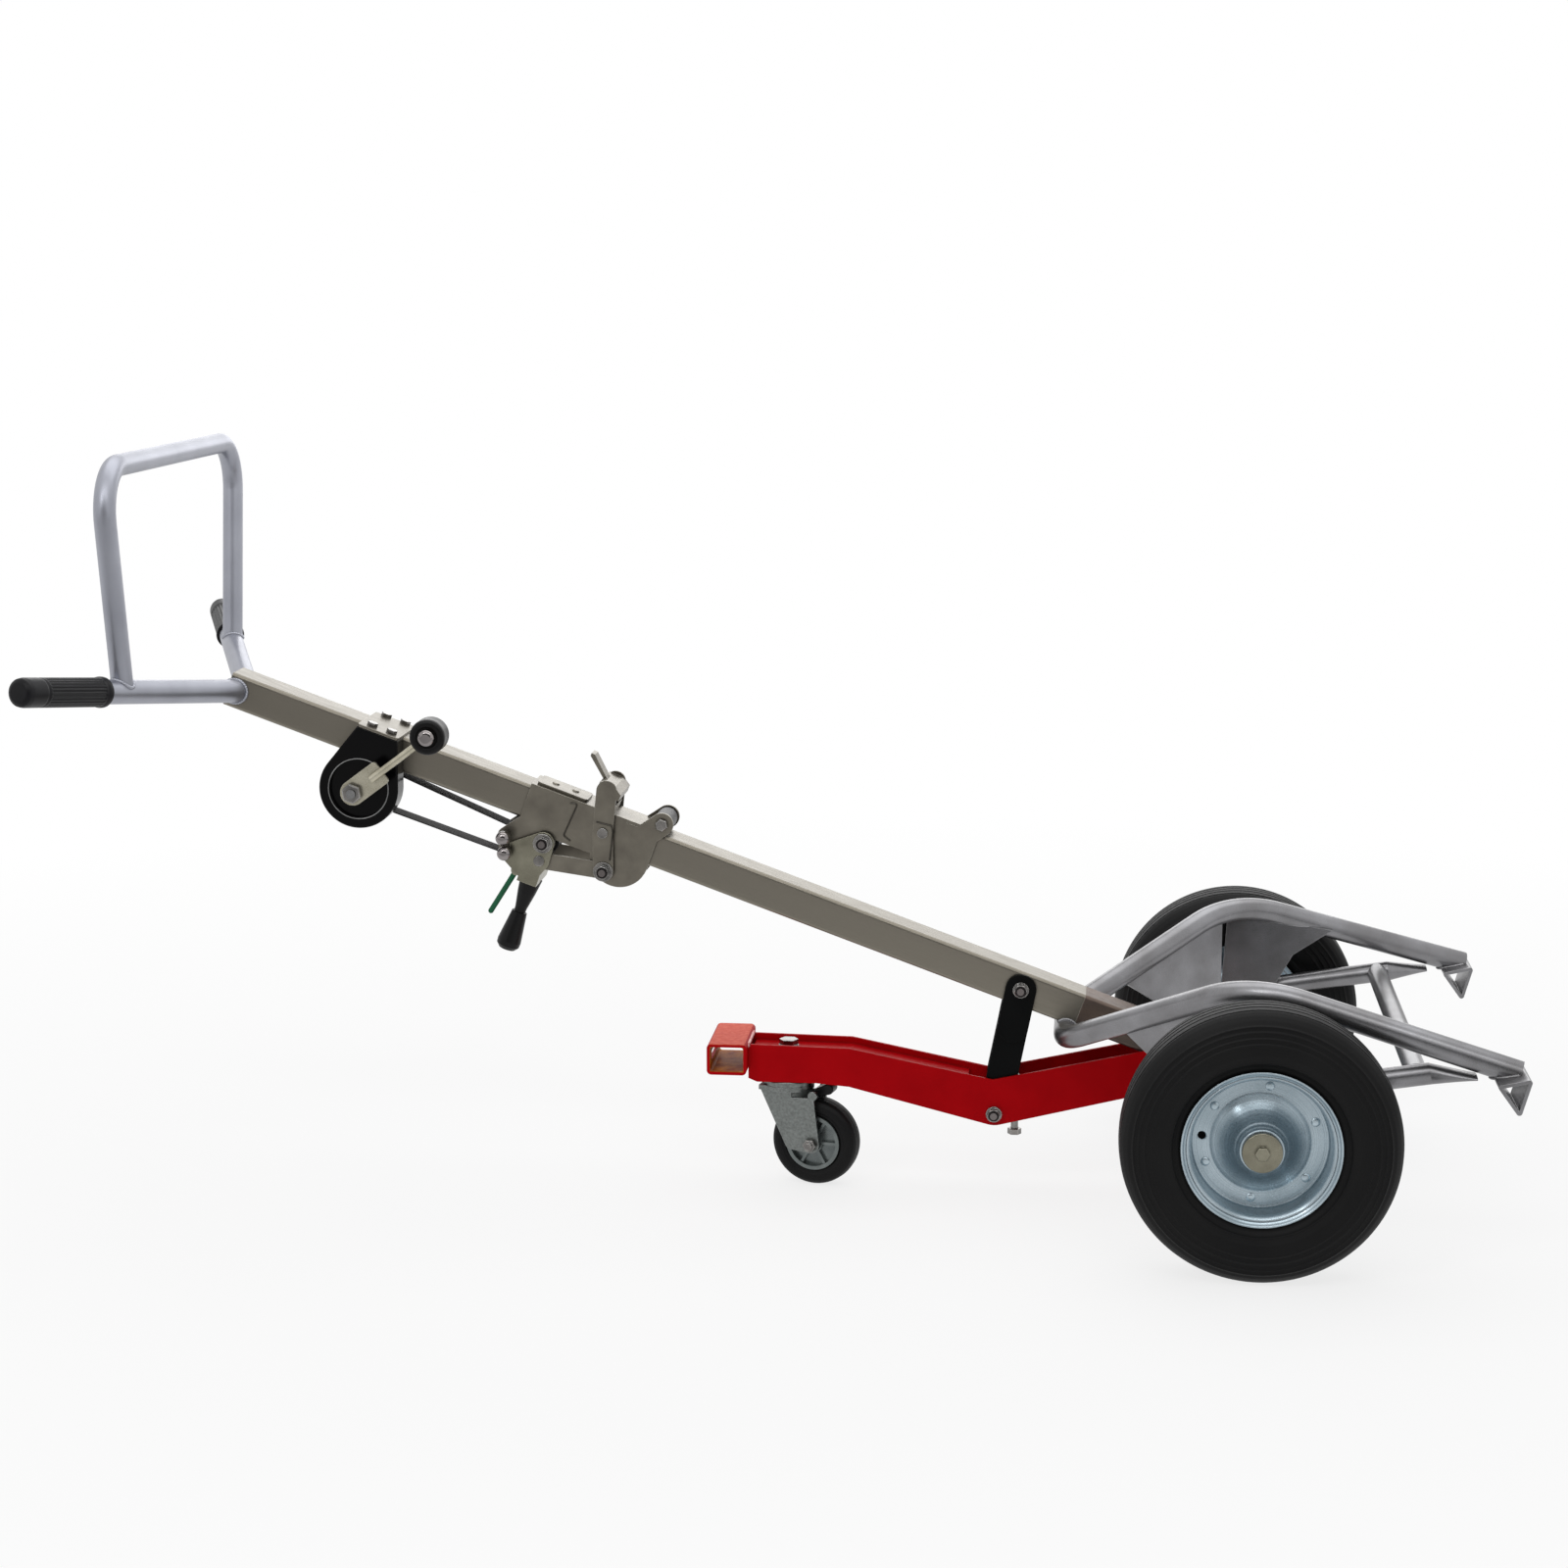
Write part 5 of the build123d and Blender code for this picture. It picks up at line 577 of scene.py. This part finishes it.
def rim_grid(side):
    """Rim profile carried round the axle, with the valve hole sunk into both flat rings."""
    profile = rounded(mirrored(RIM_HALF), 460, 2, closed=True)
    angles = np.union1d(circle(96), VALVE_ANGLE + np.linspace(-VALVE_SPAN, VALVE_SPAN, 31))
    radius, out = np.broadcast_arrays(profile[:, :1], profile[:, 1:])
    across_ring = RIVET_CIRCLE * (angles - VALVE_ANGLE)
    from_hole = np.hypot(radius - RIVET_CIRCLE, across_ring)
    inside = np.clip((VALVE_RADIUS + VALVE_EDGE - from_hole) / (2 * VALVE_EDGE), 0, 1)
    sunk = inside * (np.abs(out) < FLAT_RING)
    out = out - np.sign(out) * VALVE_DEPTH * sunk
    centre, outward = wheel_facts(side)
    grid = turned(radius, out, centre, outward, viewed(angles, side))
    return grid, (np.arange(len(profile) + 1.0), np.append(angles, 2 * pi))


def viewed(angles, side):
    """Angles read from outside a wheel, from the level line to the right."""
    return angles if side < 0 else pi - angles


def rivet_grid(side):
    """Low domes on both sides of the flat ring, one grid for each rivet head."""
    profile = np.array(RIVET_PROFILE) * (RIVET_RADIUS, RIVET_HEIGHT)
    centre, outward = wheel_facts(side)
    middles = round_tube(centre, outward, RIVET_CIRCLE, viewed(RIVET_ANGLES, side))
    heads = []
    for face in (1, -1):
        seats = middles + face * RIVET_SEAT * outward
        heads += [turned(profile[:, :1], profile[:, 1:], seat, face * outward, circle(20)) for seat in seats]
    return np.array(heads)


for side, name in ((1, "left"), (-1, "right")):
    grid, uv = rim_grid(side)
    rim = skin("rim_pressed_" + name, grid, True, True, uv, sharp=60)
    valve = round_tube(*wheel_facts(side), RIVET_CIRCLE, viewed(np.array((VALVE_ANGLE,)), side))[0]
    settle(rim, spun(blue_zinc, valve), "blue_zinc", "wheel_" + name, "rim_" + name)
    rivets = skin("rim_rivets_" + name, rivet_grid(side), closed_v=True)
    settle(rivets, blue_zinc, "blue_zinc", "wheel_" + name)


# Winch: two black moulded halves clamped to the mast by a zinc plate and four bolts.
# A thin steel ring lines the edge of the round recess behind the crank.
RECESS_AT = on_mast(0.174, -0.0510, -0.064)
RECESS_RING = [
    (0.0318, 0.0), (0.0318, 0.0006), (0.0322, 0.0010), (0.0328, 0.0010), (0.0332, 0.0006), (0.0332, 0.0),
]
# Its lighter grey edge colour is a painted highlight on the edges of the mouldings.
gloss_black = finish(
    "gloss_black", (colour(3, 3, 4), colour(6, 5, 6)), (0.14, 0.24), 30, (900, 0.00002),
    (0.0009, colour(70, 70, 72)), metallic=0.0, specular_ior_level=0.12,
)
# Its near-white edge colour is a painted glint on the bolt heads and nuts.
fastener_zinc = finish(
    "fastener_zinc", (colour(104, 102, 100), colour(146, 143, 140)), (0.16, 0.28), 90, (2500, 0.00002),
    (0.0009, colour(226, 226, 223)), metallic=1.0,
)
dress(gloss_black, "winch_housing_left", "winch_housing_right")
dress(zinc_plate, "winch_clamp_plate")
dress(fastener_zinc, "winch_fasteners")
ring_profile = rounded(RECESS_RING, 40, 1, closed=True)
ring_grid = turned(ring_profile[:, :1], ring_profile[:, 1:], RECESS_AT, (0.0, -1.0, 0.0), circle(96))
settle(skin("recess_ring", ring_grid, True, True), plain_steel, "plain_steel", "frame")


# Strap: dark polyester webbing, wound on the spool and led round two rollers on the carriage to an anchor
# rod. It is a flat band with rounded selvedges.
SPOOL_AT = np.array((0.174, -0.064))
ROLLER_UPPER = np.array((0.3373, -0.0604))
ROLLER_LOWER = np.array((0.3440, -0.0755))
ANCHOR_AT = np.array((0.20366, -0.07847))
LIFT_RADIUS = 0.0226
WRAP_RADIUS = 0.00755
ANCHOR_RADIUS = 0.00605
WINDING_START = 0.01105
WINDING_PITCH = 0.00195
WINDING_TURNS = 5
STRAP_HALF = 0.013
STRAP_HALF_THICK = 0.00075
EDGE_ROUNDING = (0.4, 0.5)
RIB_SCALE = 260.0
TWILL_SCALE = 330.0
WEAVE_DEPTH = 0.0001
UPPER_SLACK = (0.183, 0.337)
LOWER_SLACK = (0.209, 0.337)


def webbing():
    """Woven band: ribs across the run and twill between them, dusty in patches."""
    material = bpy.data.materials.new("webbing")
    material.use_nodes = True
    tree = material.node_tree
    surface = tree.nodes["Principled BSDF"]
    flat = node(tree, "UVMap", uv_map="surface").outputs[0]
    ribs = node(tree, "TexWave", {"Vector": flat, "Scale": RIB_SCALE}, bands_direction="X").outputs[1]
    slanted = {"Vector": flat, "Scale": TWILL_SCALE}
    twill = node(tree, "TexWave", slanted, bands_direction="DIAGONAL").outputs[1]
    weave = maths(tree, "MULTIPLY", ribs, twill)
    tint = over(tree, weave, colour(50, 48, 49), colour(62, 60, 60))
    tint = over(tree, between(tree, noise(tree, 60), 0.0, 0.35), tint, colour(56, 53, 52))
    bump = node(tree, "Bump", {"Height": weave, "Strength": 0.4, "Distance": WEAVE_DEPTH}).outputs[0]
    tree.links.new(tint, surface.inputs["Base Color"])
    tree.links.new(bump, surface.inputs["Normal"])
    surface.inputs["Roughness"].default_value = 0.75
    surface.inputs["Specular IOR Level"].default_value = 0.2
    return material


def touching(first, first_radius, second, second_radius):
    """Unit normal of the line that touches two circles on their left."""
    ahead = (second - first) / np.linalg.norm(second - first)
    lift = (first_radius - second_radius) / np.linalg.norm(second - first)
    return lift * ahead + np.sqrt(1 - lift**2) * np.array((-ahead[1], ahead[0]))


def round_from(centre, start, end, radius):
    """Points clockwise round a centre from one normal to another."""
    first = np.arctan2(start[1], start[0])
    back = (first - np.arctan2(end[1], end[0])) % (2 * pi)
    angles = first - np.linspace(0, back, 24)
    return centre + radius * np.stack((np.cos(angles), np.sin(angles)), 1)


def ribbon(name, line):
    """Flat band along a line in the mast's middle plane, with rounded edges and closed ends."""
    forward = np.gradient(line, axis=0)
    forward = forward / np.linalg.norm(forward, axis=1)[:, None]
    angles = circle(32)
    side = STRAP_HALF * np.sign(np.cos(angles)) * np.abs(np.cos(angles)) ** EDGE_ROUNDING[0]
    thick = STRAP_HALF_THICK * np.sign(np.sin(angles)) * np.abs(np.sin(angles)) ** EDGE_ROUNDING[1]
    s = line[:, :1] - forward[:, 1:] * thick
    h = line[:, 1:] + forward[:, :1] * thick
    grid = on_mast(s, side, h)
    ends = on_mast(line[[0, -1], 0], 0.0, line[[0, -1], 1])
    first, last = (np.broadcast_to(end, grid[:1].shape) for end in ends)
    run = np.concatenate(([0], np.cumsum(np.linalg.norm(np.diff(line, axis=0), axis=1))))
    along = np.concatenate(([run[0]], run, [run[-1]]))
    round_edge = np.concatenate((side, side[:1]))
    return skin(name, np.concatenate((first, grid, last)), closed_v=True, uv=(along, round_edge), sharp=70)


leave = touching(SPOOL_AT, LIFT_RADIUS, ROLLER_UPPER, WRAP_RADIUS)
cross_over = touching(ROLLER_UPPER, WRAP_RADIUS, ROLLER_LOWER, WRAP_RADIUS)
come_back = touching(ROLLER_LOWER, WRAP_RADIUS, ANCHOR_AT, ANCHOR_RADIUS)
upper_line = rounded(np.vstack((
    SPOOL_AT + LIFT_RADIUS * leave,
    round_from(ROLLER_UPPER, leave, cross_over, WRAP_RADIUS),
)), 180, 1)
lower_line = rounded(np.vstack((
    ROLLER_UPPER + WRAP_RADIUS * cross_over,
    round_from(ROLLER_LOWER, cross_over, come_back, WRAP_RADIUS),
    round_from(ANCHOR_AT, come_back, -come_back, ANCHOR_RADIUS),
)), 200, 1)
woven = webbing()
for name, line, slack in (("upper", upper_line, UPPER_SLACK), ("lower", lower_line, LOWER_SLACK)):
    strand = ribbon("strap_" + name, line)
    strand.data.materials.append(woven)
    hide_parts("strap")
    first, last = (tuple(on_mast(s, 0.0, 0.0)) for s in slack)
    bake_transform(strand)
turns = np.linspace(0, 2 * pi * WINDING_TURNS, 400)
reach = WINDING_START + WINDING_PITCH * turns / (2 * pi)
winding_line = SPOOL_AT + reach[:, None] * np.stack((np.cos(turns), np.sin(turns)), 1)
settle(ribbon("strap_roll", winding_line), woven, "webbing", "crank", "strap_winding")


# Crank: a yellow zinc plate and rod on the spool shaft, held by a nut, with a turning knob
# of black plastic on its pin and a chromed dome that keeps it there.
KNOB_AT = on_mast(0.23576, -0.119, 0.03003)
KNOB_PROFILE = [
    (0.0042, 0.0012), (0.0108, 0.0012), (0.0116, 0.0), (0.0158, 0.0), (0.0181, 0.0014), (0.0190, 0.0046),
    (0.0187, 0.0150), (0.0190, 0.0254), (0.0180, 0.0286), (0.0155, 0.0300), (0.0042, 0.0300),
]
chrome = finish(
    "chrome", (colour(126, 121, 121), colour(145, 140, 139)), (0.05, 0.10), 60, (1500, 0.00001),
    metallic=1.0,
)
black_plastic = finish(
    "black_plastic", (colour(6, 6, 7), colour(11, 11, 12)), (0.30, 0.44), 50, (2200, 0.00003),
    (0.0008, colour(34, 34, 35)), metallic=0.0, specular_ior_level=0.2,
)
crank_zinc = finish(
    "crank_zinc", (colour(167, 162, 144), colour(198, 193, 175)), (0.22, 0.36), 55, (1600, 0.00002),
    (0.0008, colour(214, 211, 196)), metallic=1.0,
)
dress(crank_zinc, "crank_plate", "crank_rod")
dress(fastener_zinc, "crank_nut")
dress(chrome, "knob_cap")
knob_profile = rounded(KNOB_PROFILE, 120, 2, closed=True)
knob_grid = turned(knob_profile[:, :1], knob_profile[:, 1:], KNOB_AT, (0.0, 1.0, 0.0), circle(64))
settle(skin("knob_moulded", knob_grid, True, True), black_plastic, "black_plastic", "knob", "crank_knob")


# Carriage: sheet folded over the mast, with a pad and a ledge on its roof and pins across its tail.
# The pivot pins' ends are drawn with a painted dark ring of shade and a painted highlight, in bright washers.
# Radii and colours of the painted shade ring and the painted highlight on pin ends.
PIN_SHADE_RADIUS = 0.0060
PIN_HIGHLIGHT_RADIUS = 0.0038
PIN_PAINTED_SHADE = colour(44, 41, 41)
PIN_PAINTED_HIGHLIGHT = colour(112, 106, 105)
carriage_zinc = finish(
    "carriage_zinc", (colour(112, 107, 98), colour(132, 127, 116)), (0.28, 0.42), 40, (1300, 0.00003),
    (0.0009, colour(184, 180, 170)), metallic=1.0,
)
dress(carriage_zinc, "carriage_body", "carriage_pad", "rim_ledge")
dress(chrome, "dome_nuts")
dress(fastener_zinc, "strap_roller_upper", "strap_roller_lower")
dress(black_plastic, "upper_guide_roller", "lower_guide_roller")
spring_steel = finish(
    "spring_steel", (colour(58, 56, 52), colour(84, 81, 75)), (0.25, 0.40), 90, (2500, 0.00002),
    metallic=1.0,
)
dress(spring_steel, "roof_wire", "hook_spring")


def pin_ends_shaded_and_lit(*centres):
    """Fastener zinc with a painted dark ring of shade and a painted highlight at each pin end round its
    centre.
    """
    made = fastener_zinc.copy()
    tree = made.node_tree
    base = tree.nodes["Principled BSDF"].inputs["Base Color"]
    tint = base.links[0].from_socket
    for centre in centres:
        # Painted shade as a dark ring round each pin end, and a painted highlight at its middle.
        tint = over(tree, round_spot(tree, centre, PIN_SHADE_RADIUS), tint, PIN_PAINTED_SHADE)
        tint = over(tree, round_spot(tree, centre, PIN_HIGHLIGHT_RADIUS), tint, PIN_PAINTED_HIGHLIGHT)
    tree.links.new(tint, base)
    return made


dress(pin_ends_shaded_and_lit(joint("lever_swing")["pos_m"]), "carriage_pins")
dress(pin_ends_shaded_and_lit(np.mean(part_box("link_studs"), axis=0)), "link_studs")


# Clamp: lever, links and hook of zinc-plated plate, with a black handle and a green release lever.
# The handle and the release lever are moulded plastic, and bright pins join the plates.
dress(yellow_zinc, "lever_yoke")
dress(carriage_zinc, "links", "hook")
dress(fastener_zinc, "lever_pins")
dress(black_plastic, "lever_handle")
green_plastic = finish(
    "green_plastic", (colour(4, 84, 52), colour(8, 100, 62)), (0.35, 0.48), 60, (2000, 0.00003),
    (0.0008, colour(50, 134, 102)), metallic=0.0, specular_ior_level=0.3,
)
dress(green_plastic, "release_lever")


# Support arm: a folded channel with a square pedal tube welded across its front, powder coated red.
# The pedal's top is drawn orange, a painted light for how the red looks where light falls on it; its inside is
# thin and rusty yellow, and the top weld shines through.
# A black strut ties the arm to the mast, with bolts in bright nuts whose ends are drawn
# with a painted dark ring of shade and a painted highlight.
PEDAL_INSIDE = ((-0.0925, -0.05, 0.1317), (-0.0563, 0.05, 0.1589))
PEDAL_TREAD = ((-0.1000, -0.05, 0.1616), (-0.0510, 0.05, 0.1700))
ARM_FRONT = -0.0529
ARM_SIDE = 0.0268
ARM_TOP = 0.1578
SEAM_DROP = 0.0040
STRUT_BOLTS = ((0.2401, 0.0, 0.2255), (0.2129, 0.0, 0.0875), (0.4387, 0.0, 0.1532))
red_paint = finish(
    "red_paint", (colour(164, 2, 10), colour(180, 4, 13)), (0.38, 0.50), 20, (700, 0.00004),
    (0.0010, colour(198, 40, 33)), metallic=0.0, specular_ior_level=0.04,
)
pedal_paint = red_paint.copy()
pedal_paint.name = "pedal_paint"


def inside_box(tree, low, high):
    """1 within a box of the piece's own coordinates."""
    axes = node(tree, "SeparateXYZ", {0: node(tree, "TexCoord").outputs["Object"]}).outputs
    share = 1.0
    for axis, start, stop in zip(axes, low, high):
        share = maths(tree, "MULTIPLY", share, maths(tree, "GREATER_THAN", axis, start))
        share = maths(tree, "MULTIPLY", share, maths(tree, "LESS_THAN", axis, stop))
    return share


def mottled(tree, patches, *tones):
    """Two colours in patches, with a number of patches per metre."""
    return over(tree, between(tree, noise(tree, patches), 0.0, 1.0), *tones)


pedal_tree = pedal_paint.node_tree
pedal_surface = pedal_tree.nodes["Principled BSDF"]
outside = pedal_surface.inputs["Base Color"].links[0].from_socket
rusty = mottled(pedal_tree, 70, colour(150, 70, 14), colour(208, 132, 34))
both_sides = over(pedal_tree, inside_box(pedal_tree, *PEDAL_INSIDE), outside, rusty)
# Painted light: the top of the pedal is drawn orange, as the red paint looks where light falls on it.
lit_tread_orange = mottled(pedal_tree, 160, colour(206, 70, 50), colour(220, 98, 74))
with_lit_tread = over(pedal_tree, inside_box(pedal_tree, *PEDAL_TREAD), both_sides, lit_tread_orange)
pedal_tree.links.new(with_lit_tread, pedal_surface.inputs["Base Color"])
dress(red_paint, "support_arm")
dress(pedal_paint, "pedal_box")
weld_red = finish(
    "weld_red", (colour(206, 168, 166), colour(170, 60, 58)), (0.18, 0.34), 160, (1500, 0.00004),
    metallic=0.6,
)
pedal_seam = rounded((
    (ARM_FRONT, -ARM_SIDE, ARM_TOP - SEAM_DROP), (ARM_FRONT, -ARM_SIDE, ARM_TOP),
    (ARM_FRONT, ARM_SIDE, ARM_TOP), (ARM_FRONT, ARM_SIDE, ARM_TOP - SEAM_DROP),
), 160, 2)
pedal_weld = skin("pedal_weld", bead_grid(pedal_seam, np.array((1.0, 0.0, 0.0)), False), closed_v=True)
settle(pedal_weld, weld_red, "red_paint", "frame")
black_paint = finish(
    "black_paint", (colour(4, 5, 5), colour(8, 9, 9)), (0.34, 0.50), 24, (800, 0.00004),
    (0.0010, colour(30, 30, 30)), metallic=0.0, specular_ior_level=0.07,
)
dress(black_paint, "strut")
dress(fastener_zinc, "caster_axle")
dress(pin_ends_shaded_and_lit(*STRUT_BOLTS), "support_bolts")


# Caster: pressed fork of galvanised steel on a swivel race, with a rubber-tyred wheel and a brake tab.
# The wheel's centre is moulded in grey plastic and the tab in black.
CASTER_TYRE_HALF = [
    (0.0301, 0.0), (0.0301, 0.0120), (0.0318, 0.0138), (0.0346, 0.0142), (0.0354, 0.0149), (0.0390, 0.0150),
    (0.0425, 0.0141), (0.0455, 0.0118), (0.0473, 0.0078), (0.0480, 0.0),
]
galvanised = finish(
    "galvanised", (colour(104, 107, 105), colour(128, 132, 130)), (0.26, 0.44), 380, (1200, 0.00003),
    (0.0010, colour(176, 180, 180)), metallic=1.0,
)
dress(galvanised, "caster_fork", "caster_head")
dress(black_plastic, "caster_brake")
grey_plastic = finish(
    "grey_plastic", (colour(92, 98, 98), colour(116, 122, 121)), (0.20, 0.34), 60, (1800, 0.00003),
    metallic=0.7,
)
dress(grey_plastic, "caster_rim")
caster_joint = joint("caster_wheel_spin")
caster_profile = rounded(mirrored(CASTER_TYRE_HALF), 180, 2, closed=True)
caster_grid = turned(
    caster_profile[:, :1], caster_profile[:, 1:], caster_joint["pos_m"], caster_joint["axis"], circle(96),
)
caster_band = skin("caster_band", caster_grid, True, True)
settle(caster_band, tyre_rubber, "tyre_rubber", "caster_wheel", "caster_tyre")


# Stage: a pale floor under soft light from above and behind, with white surroundings.
# A small lamp in front on the left gives shiny metal its highlights, and a dark card gives it contrast.
FLOOR_REACH = 30.0
FLOOR_GREY = 0.86
FLOOR_GLOW = (0.78, 1.0)
FLOOR_FADE = (0.7, 2.2)
MIRRORED_GLOW = 0.62
MIRRORED_FADE = (-1.3, -0.7)
CARD_PLACE = (0.0, -4.6, 0.5)
CARD_SIZE = (2.2, 1.0, 2.0)
CARD_TONE = colour(70, 70, 72)
WORLD_LIGHT = (0.5, 1.0)
LAMPS = (
    # name, spot and aim in metres, size in metres, power in watts
    ("overhead", (0.0, 0.7, 2.6), (0.0, 0.1, 0.3), (3.2, 2.0), 24),
    ("strip", (0.2, -1.9, 2.4), (0.2, -0.3, 0.2), (2.6, 0.6), 12),
    ("behind", (-0.1, 2.6, 1.3), (0.0, 0.0, 0.4), (3.0, 1.0), 15),
    ("front", (-1.5, -2.6, 2.3), (0.2, -0.2, 0.3), (0.5, 0.5), 9),
)
CAMERA_PLACE = (0.302895, -3.1938, 1.000985)
CAMERA_PITCH = radians(80.08)
CAMERA_HEADING = radians(5.715)
CAMERA_LENS = 69.75
CAMERA_SENSOR = 36.0


def seen_directly(tree):
    """1 for rays that show the surroundings: seen, mirrored or through something."""
    path = node(tree, "LightPath").outputs
    either = maths(tree, "MAXIMUM", path["Is Camera Ray"], path["Is Glossy Ray"])
    return maths(tree, "MAXIMUM", either, path["Is Transmission Ray"])


def pale_floor():
    """Floor that takes the shadows near the object and glows to plain white further off."""
    corner = FLOOR_REACH * np.array(((-1, -1, 0), (1, -1, 0), (1, 1, 0), (-1, 1, 0)))
    mesh = bpy.data.meshes.new("floor")
    mesh.from_pydata(corner.tolist(), [], [(0, 1, 2, 3)])
    floor = bpy.data.objects.new("floor", mesh)
    bpy.context.scene.collection.objects.link(floor)
    material = bpy.data.materials.new("floor")
    material.use_nodes = True
    tree = material.node_tree
    tree.nodes.clear()
    own = node(tree, "TexCoord").outputs["Object"]
    away = node(tree, "VectorMath", {0: own}, operation="LENGTH").outputs["Value"]
    matt = node(tree, "BsdfDiffuse", {"Color": (FLOOR_GREY, FLOOR_GREY, FLOOR_GREY, 1)}).outputs[0]
    ahead = node(tree, "SeparateXYZ", {0: own}).outputs["Y"]
    mirrored_glow = between(tree, ahead, MIRRORED_GLOW, 1.0, *MIRRORED_FADE)
    path = node(tree, "LightPath").outputs
    level = between(tree, path["Is Glossy Ray"], 1.0, mirrored_glow, 0.0, 1.0)
    glow = node(tree, "Emission", {"Color": (1, 1, 1, 1), "Strength": level}).outputs[0]
    share = maths(tree, "MULTIPLY", seen_directly(tree), between(tree, away, *FLOOR_GLOW, *FLOOR_FADE))
    mixed = node(tree, "MixShader", {0: share, 1: matt, 2: glow}).outputs[0]
    node(tree, "OutputMaterial", {"Surface": mixed})
    mesh.materials.append(material)


def dark_card():
    """Dark card behind the camera that only shows mirrored in shiny metal."""
    corner = np.array(((-1, 0, 0), (1, 0, 0), (1, 0, 1), (-1, 0, 1))) * CARD_SIZE + CARD_PLACE
    mesh = bpy.data.meshes.new("card")
    mesh.from_pydata(corner.tolist(), [], [(0, 1, 2, 3)])
    card = bpy.data.objects.new("card", mesh)
    bpy.context.scene.collection.objects.link(card)
    material = bpy.data.materials.new("card")
    material.use_nodes = True
    surface = material.node_tree.nodes["Principled BSDF"]
    surface.inputs["Base Color"].default_value = (*CARD_TONE, 1.0)
    surface.inputs["Roughness"].default_value = 0.9
    mesh.materials.append(material)
    card.visible_camera = False
    card.visible_diffuse = False
    card.visible_shadow = False


def lamp(name, spot, aim, size, power):
    """Soft rectangular lamp at a spot, turned to its aim."""
    data = bpy.data.lights.new(name, "AREA")
    data.shape = "RECTANGLE"
    data.size, data.size_y = size
    data.energy = power
    made = bpy.data.objects.new(name, data)
    made.location = spot
    made.rotation_euler = (Vector(aim) - Vector(spot)).to_track_quat("-Z", "Y").to_euler()
    made.visible_camera = False
    bpy.context.scene.collection.objects.link(made)


pale_floor()
dark_card()
world = bpy.data.worlds.new("surroundings")
bpy.context.scene.world = world
world.use_nodes = True
light_tree = world.node_tree
light_tree.nodes.clear()
strength = between(light_tree, seen_directly(light_tree), *WORLD_LIGHT, 0.0, 1.0)
white = node(light_tree, "Background", {"Color": (1, 1, 1, 1), "Strength": strength}).outputs[0]
node(light_tree, "OutputWorld", {"Surface": white})
for lamp_facts in LAMPS:
    lamp(*lamp_facts)

camera = bpy.data.objects.new("camera", bpy.data.cameras.new("camera"))
camera.location = CAMERA_PLACE
camera.rotation_euler = (CAMERA_PITCH, 0.0, CAMERA_HEADING)
camera.data.lens = CAMERA_LENS
camera.data.sensor_width = CAMERA_SENSOR
bpy.context.scene.collection.objects.link(camera)
bpy.context.scene.camera = camera
bpy.context.scene.view_settings.view_transform = "Standard"
